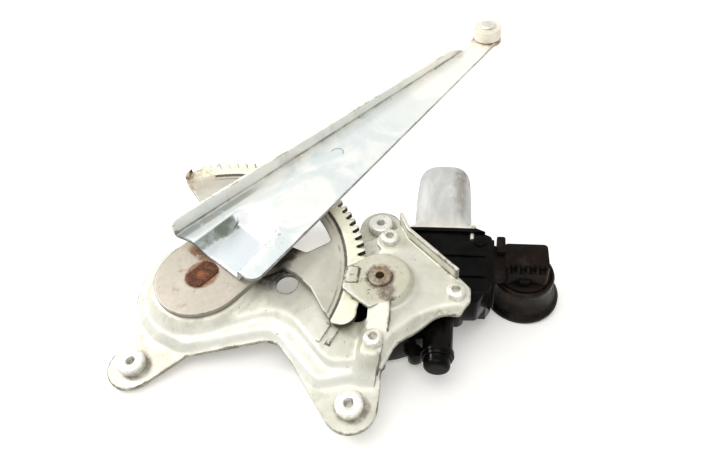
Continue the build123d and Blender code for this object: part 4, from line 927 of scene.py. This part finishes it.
def rounded_end(mesh):
    """Draws the sharp far corner of the sector in to a rounded lobe."""
    inner_rim, near, pull = 77 * MM, 30 * MM, 0.96
    middle = Vector((*SECTOR_END, 0.0)) * MM
    pivot = Vector((*PIVOT, 0.0))
    start = math.atan2(middle.y - pivot.y, middle.x - pivot.x)
    for vertex in mesh.verts:
        flat = Vector((vertex.co.x, vertex.co.y, 0.0))
        arm, out = flat - pivot, flat - middle
        beyond = arm.length > inner_rim and math.atan2(arm.y, arm.x) > start
        if beyond and 1e-6 < out.length < near:
            way = out.normalized()
            most = 1 / math.hypot(way.x / LOBE[0], way.y / LOBE[1]) * MM
            if out.length > most:
                vertex.co -= way * (out.length - most) * pull


def waisted(mesh):
    """Draws the bell's wall in to a waist over a wider sealing lip."""
    outer_wall, step = 17.8 * MM, 1.3 * MM
    low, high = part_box("seal_bell")
    middle = (low + high) / 2
    for vertex in mesh.verts:
        out = Vector((vertex.co.x - middle.x, vertex.co.y - middle.y, 0.0))
        if out.length > outer_wall:
            z = vertex.co.z
            waist = smooth_step(z, -0.0305, -0.0275) * (1 - smooth_step(z, -0.0255, -0.0150))
            lip = 1 - smooth_step(z, -0.0306, -0.0300)
            vertex.co += out.normalized() * (lip - waist) * step
    mesh.normal_update()


def pressed(node, look, reach, grid, reshape=None):
    """Dresses a pressed sheet piece: rounded bends and marked cut edges."""
    mesh = cad_mesh(node)
    refine(mesh, grid)
    if reshape:
        reshape(mesh)
    press_bends(mesh, reach)
    mark_edges(mesh)
    stand_in(node, mesh, look, 42.0)


class Step:
    """What every operator of the add-on does: it makes its pieces from the scene's sizes."""

    def execute(self, context):
        self.make(context.scene.regulator_sizes)
        return {"FINISHED"}


class REGULATOR_OT_stage(Step, bpy.types.Operator):
    """Makes the table, the lights and the camera"""

    bl_idname = "regulator.stage"
    bl_label = "Stage"

    def make(self, sizes):
        make_table(sizes.table / 2)
        make_lights(sizes.key, sizes.sky)
        make_camera()


def make_table(half):
    """Lays the table under the three points that the part stands on."""
    gap = 0.02 * MM
    # the left lug, the spring's anchor lug and the rubber bell
    feet = [Vector(p) * MM for p in ((-4.0, -4.0, 0.0), (-14.0, 80.0, -9.5), (216.0, 85.5, -33.0))]
    up = (feet[1] - feet[0]).cross(feet[2] - feet[0])
    up = (up if up.z > 0 else -up).normalized()
    lowest = min(up.dot(v.co) for node in frame["nodes"].values() for v in node.data.vertices)
    middle = Vector((0.11, 0.12, 0.0))
    middle -= up * (up.dot(middle) - lowest + gap)
    side = up.orthogonal().normalized()
    other = up.cross(side)
    data = bpy.data.meshes.new("table_top")
    data.from_pydata([middle + side * a * half + other * b * half
                      for a, b in ((-1, -1), (1, -1), (1, 1), (-1, 1))], [], [(0, 1, 2, 3)])
    data.materials.append(finish("floor"))
    linked("table_top", data)


def make_lights(key, sky):
    """Fills a pale room with light and hangs two soft lamps in it."""
    world = bpy.data.worlds.new("room")
    world.use_nodes = True
    back = world.node_tree.nodes["Background"]
    back.inputs["Color"].default_value = (1.0, 0.995, 0.985, 1.0)
    back.inputs["Strength"].default_value = sky
    bpy.context.scene.world = world
    for name, at, aim, size, power in (
            ("key_lamp", (-0.85, 0.42, 0.80), (0.10, 0.10, 0.0), 0.38, key),
            ("top_lamp", (0.10, -0.15, 1.10), (0.11, 0.10, 0.0), 1.0, key * 0.8)):
        lamp = bpy.data.lights.new(name, "AREA")
        lamp.shape = "SQUARE"
        lamp.size = size
        lamp.energy = power
        lamp.color = (1.0, 0.985, 0.96)
        spot = linked(name, lamp)
        spot.location = at
        spot.rotation_euler = (Vector(aim) - Vector(at)).to_track_quat("-Z", "Y").to_euler()


def make_camera():
    """Places the camera and sets the view."""
    lens = bpy.data.cameras.new("camera")
    lens.sensor_width = SENSOR
    lens.lens = SENSOR * FOCAL_PX / WIDTH_PX
    lens.clip_start, lens.clip_end = 0.01, 20.0
    camera = linked("camera", lens)
    across, behind = Vector(CAMERA_ACROSS).normalized(), Vector(CAMERA_BEHIND).normalized()
    upward = behind.cross(across).normalized()
    turn = Matrix((across, upward, behind)).transposed()
    camera.matrix_world = Matrix.Translation(Vector(CAMERA_AT) * MM) @ turn.to_4x4()
    scene = bpy.context.scene
    scene.camera = camera
    scene.view_settings.view_transform = "Standard"
    scene.view_settings.look = "Medium High Contrast"


class REGULATOR_OT_plate(Step, bpy.types.Operator):
    """Dresses the stamped plate that carries everything"""

    bl_idname = "regulator.plate"
    bl_label = "Stamped plate"

    def make(self, sizes):
        pressed("base_plate", "plate", sizes.bend, sizes.grid)


class REGULATOR_OT_sector(Step, bpy.types.Operator):
    """Dresses the toothed sector"""

    bl_idname = "regulator.sector"
    bl_label = "Toothed sector"

    def make(self, sizes):
        pressed("sector_gear", "sector", 0.45 * MM, sizes.grid, rounded_end)


class REGULATOR_OT_arm(Step, bpy.types.Operator):
    """Dresses the lift arm and the roller on its tip"""

    bl_idname = "regulator.arm"
    bl_label = "Lift arm"

    def make(self, sizes):
        coarser = 1.35  # the arm is long and mostly flat
        pressed("lift_arm", "arm", 0.8 * MM, coarser * sizes.grid)
        dress("roller_pin", "screw", 0.15)
        dress("glass_roller", "acetal", 0.0)


class REGULATOR_OT_pivot(Step, bpy.types.Operator):
    """Dresses the pivot: its shaft, bush and clip"""

    bl_idname = "regulator.pivot"
    bl_label = "Arm pivot"

    def make(self, sizes):
        dress("pivot_shaft", "rust", 0.35)
        dress("pivot_bush", "acetal", 0.2)
        dress("pivot_clip", "spring", 0.15)


class REGULATOR_OT_spring(Step, bpy.types.Operator):
    """Dresses the flat spiral spring that carries the glass's weight"""

    bl_idname = "regulator.spring"
    bl_label = "Assist spring"

    def make(self, sizes):
        pivot = Vector(PIVOT)
        whole = cad_mesh("assist_spring")
        round_edges(whole, 0.2 * MM)
        # the tang in the shaft's slot turns with the arm, the coils stay with the plate
        inner = [v.co.xy - pivot for v in whole.verts if (v.co.xy - pivot).length < TANG_END]
        way = (sum(inner, Vector((0.0, 0.0))) / len(inner)).normalized().to_3d()
        bmesh.ops.bisect_plane(whole, geom=[*whole.verts, *whole.edges, *whole.faces],
                               plane_co=pivot.to_3d() + way * TANG_END, plane_no=way)
        for name, body, within, node in (("spring_tang", "arm", True, None),
                                         ("dressed_assist_spring", "base", False, "assist_spring")):
            part = whole.copy()
            gone = [f for f in part.faces
                    if ((f.calc_center_median().xy - pivot).length < TANG_END) != within]
            bmesh.ops.delete(part, geom=gone, context="FACES")
            bmesh.ops.holes_fill(part, edges=[e for e in part.edges if e.is_boundary])
            bmesh.ops.recalc_face_normals(part, faces=part.faces)
            piece(name, part, "spring", body, node)
        whole.free()


class REGULATOR_OT_fasteners(Step, bpy.types.Operator):
    """Makes the clinch nuts' threads and the screws"""

    bl_idname = "regulator.fasteners"
    bl_label = "Nuts and screws"

    def make(self, sizes):
        dress("mount_nuts", "nut", 0.25, 40)
        grown("nut_threads", thread_tree(), [(x, y, 0.8) for x, y in NUTS], "nut", "zinc_bright", smooth=70)
        screws = screw_tree()
        small = {"Head_radius": 2.7, "Head_height": 1.75, "Recess_radius": 1.3, "Recess_depth": 0.9,
                 "Recess_corners": 4, "Crown": 0.5, "Shank_radius": 1.45}
        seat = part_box("cover_screws")[0].z / MM + LID_SCREW_HEAD
        ring = [(PINION[0] + LID_SCREW_RING * math.cos(a), PINION[1] + LID_SCREW_RING * math.sin(a), seat)
                for a in map(math.radians, LID_SCREW_ANGLES)]
        for node, points, values in (
                ("motor_screws", MOTOR_SCREWS, {}),
                ("cover_screws", ring, {**small, "Shank_length": 7.9, "Turn": (math.pi, 0.0, 0.0)}),
                ("can_screws", CAN_SCREWS, {**small, "Shank_length": 8.9, "Turn": (-math.pi / 2, 0.0, 0.0)})):
            grown("dressed_" + node, screws, points, "screw", "zinc_bright", node, **values)


class REGULATOR_OT_gears(Step, bpy.types.Operator):
    """Dresses the output pinion, worm wheel and worm shaft"""

    bl_idname = "regulator.gears"
    bl_label = "Gears"

    def make(self, sizes):
        dress("output_pinion", "greasy", 0.15, 40)
        dress("worm_wheel", "acetal", 0.0)
        dress("worm_shaft", "steel", 0.0)
        dress("shaft_bushes", "bronze", 0.1)


class REGULATOR_OT_gearbox(Step, bpy.types.Operator):
    """Dresses the gearbox housing and its lid"""

    bl_idname = "regulator.gearbox"
    bl_label = "Gearbox"

    def make(self, sizes):
        dress("gearbox_housing", "black", sizes.edge / MM, 40)
        dress("gearbox_cover", "lid", 0.2, 40)


class REGULATOR_OT_motor(Step, bpy.types.Operator):
    """Dresses the motor: can, magnets, armature, commutator and brushes"""

    bl_idname = "regulator.motor"
    bl_label = "Motor"

    def make(self, sizes):
        mesh = cad_mesh("motor_can")
        refine(mesh, 2.4 * MM)
        # the drawn can is rounded at its closed end and a little at its flare
        least, end = 0.06, (136 * MM, 150 * MM)
        press_bends(mesh, 2.5 * MM, upright=0.0,
                    share=lambda spots: least + (1 - least) * smooth_step(spots[:, 1], *end))
        stand_in("motor_can", mesh, "can", 50.0)
        dress("motor_magnets", "ferrite", 0.15)
        dress("armature_core", "laminations", 0.0)
        dress("armature_windings", "copper", 0.0)
        dress("commutator", "bars", 0.0)
        dress("brush_card", "card", 0.15)
        dress("brushes", "carbon", 0.1)


class REGULATOR_OT_connector(Step, bpy.types.Operator):
    """Dresses the connector, its contacts and the rubber bell"""

    bl_idname = "regulator.connector"
    bl_label = "Connector"

    def make(self, sizes):
        dress("connector_shroud", "connector", sizes.edge / MM, 40)
        dress("terminals", "tin", 0.08)
        mesh = cad_mesh("seal_bell")
        refine(mesh, 1.5 * MM)
        waisted(mesh)
        stand_in("seal_bell", mesh, "rubber", 40.0)


class REGULATOR_PT_panel(bpy.types.Panel):
    """Sizes, colours and the pieces in the sidebar"""

    bl_idname = "REGULATOR_PT_panel"
    bl_label = "Window regulator"
    bl_space_type = "VIEW_3D"
    bl_region_type = "UI"
    bl_category = "Regulator"

    def draw(self, context):
        column = self.layout.column()
        for group in (context.scene.regulator_sizes, context.scene.regulator_colours):
            for name in group.__annotations__:
                column.prop(group, name)
        for operator in STEPS:
            column.operator(operator.bl_idname)


STEPS = (REGULATOR_OT_stage, REGULATOR_OT_plate, REGULATOR_OT_sector, REGULATOR_OT_arm, REGULATOR_OT_pivot,
         REGULATOR_OT_spring, REGULATOR_OT_fasteners, REGULATOR_OT_gears, REGULATOR_OT_gearbox,
         REGULATOR_OT_motor, REGULATOR_OT_connector)
CLASSES = (RegulatorSizes, RegulatorColours, *STEPS, REGULATOR_PT_panel)


def register():
    for item in CLASSES:
        bpy.utils.register_class(item)
    bpy.types.Scene.regulator_sizes = bpy.props.PointerProperty(type=RegulatorSizes)
    bpy.types.Scene.regulator_colours = bpy.props.PointerProperty(type=RegulatorColours)


def unregister():
    del bpy.types.Scene.regulator_colours
    del bpy.types.Scene.regulator_sizes
    for item in reversed(CLASSES):
        bpy.utils.unregister_class(item)


def main():
    """Registers the add-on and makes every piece."""
    register()
    for step in STEPS:
        name = step.bl_idname.split(".")[1]
        getattr(bpy.ops.regulator, name)()


if __name__ == "__main__":
    main()
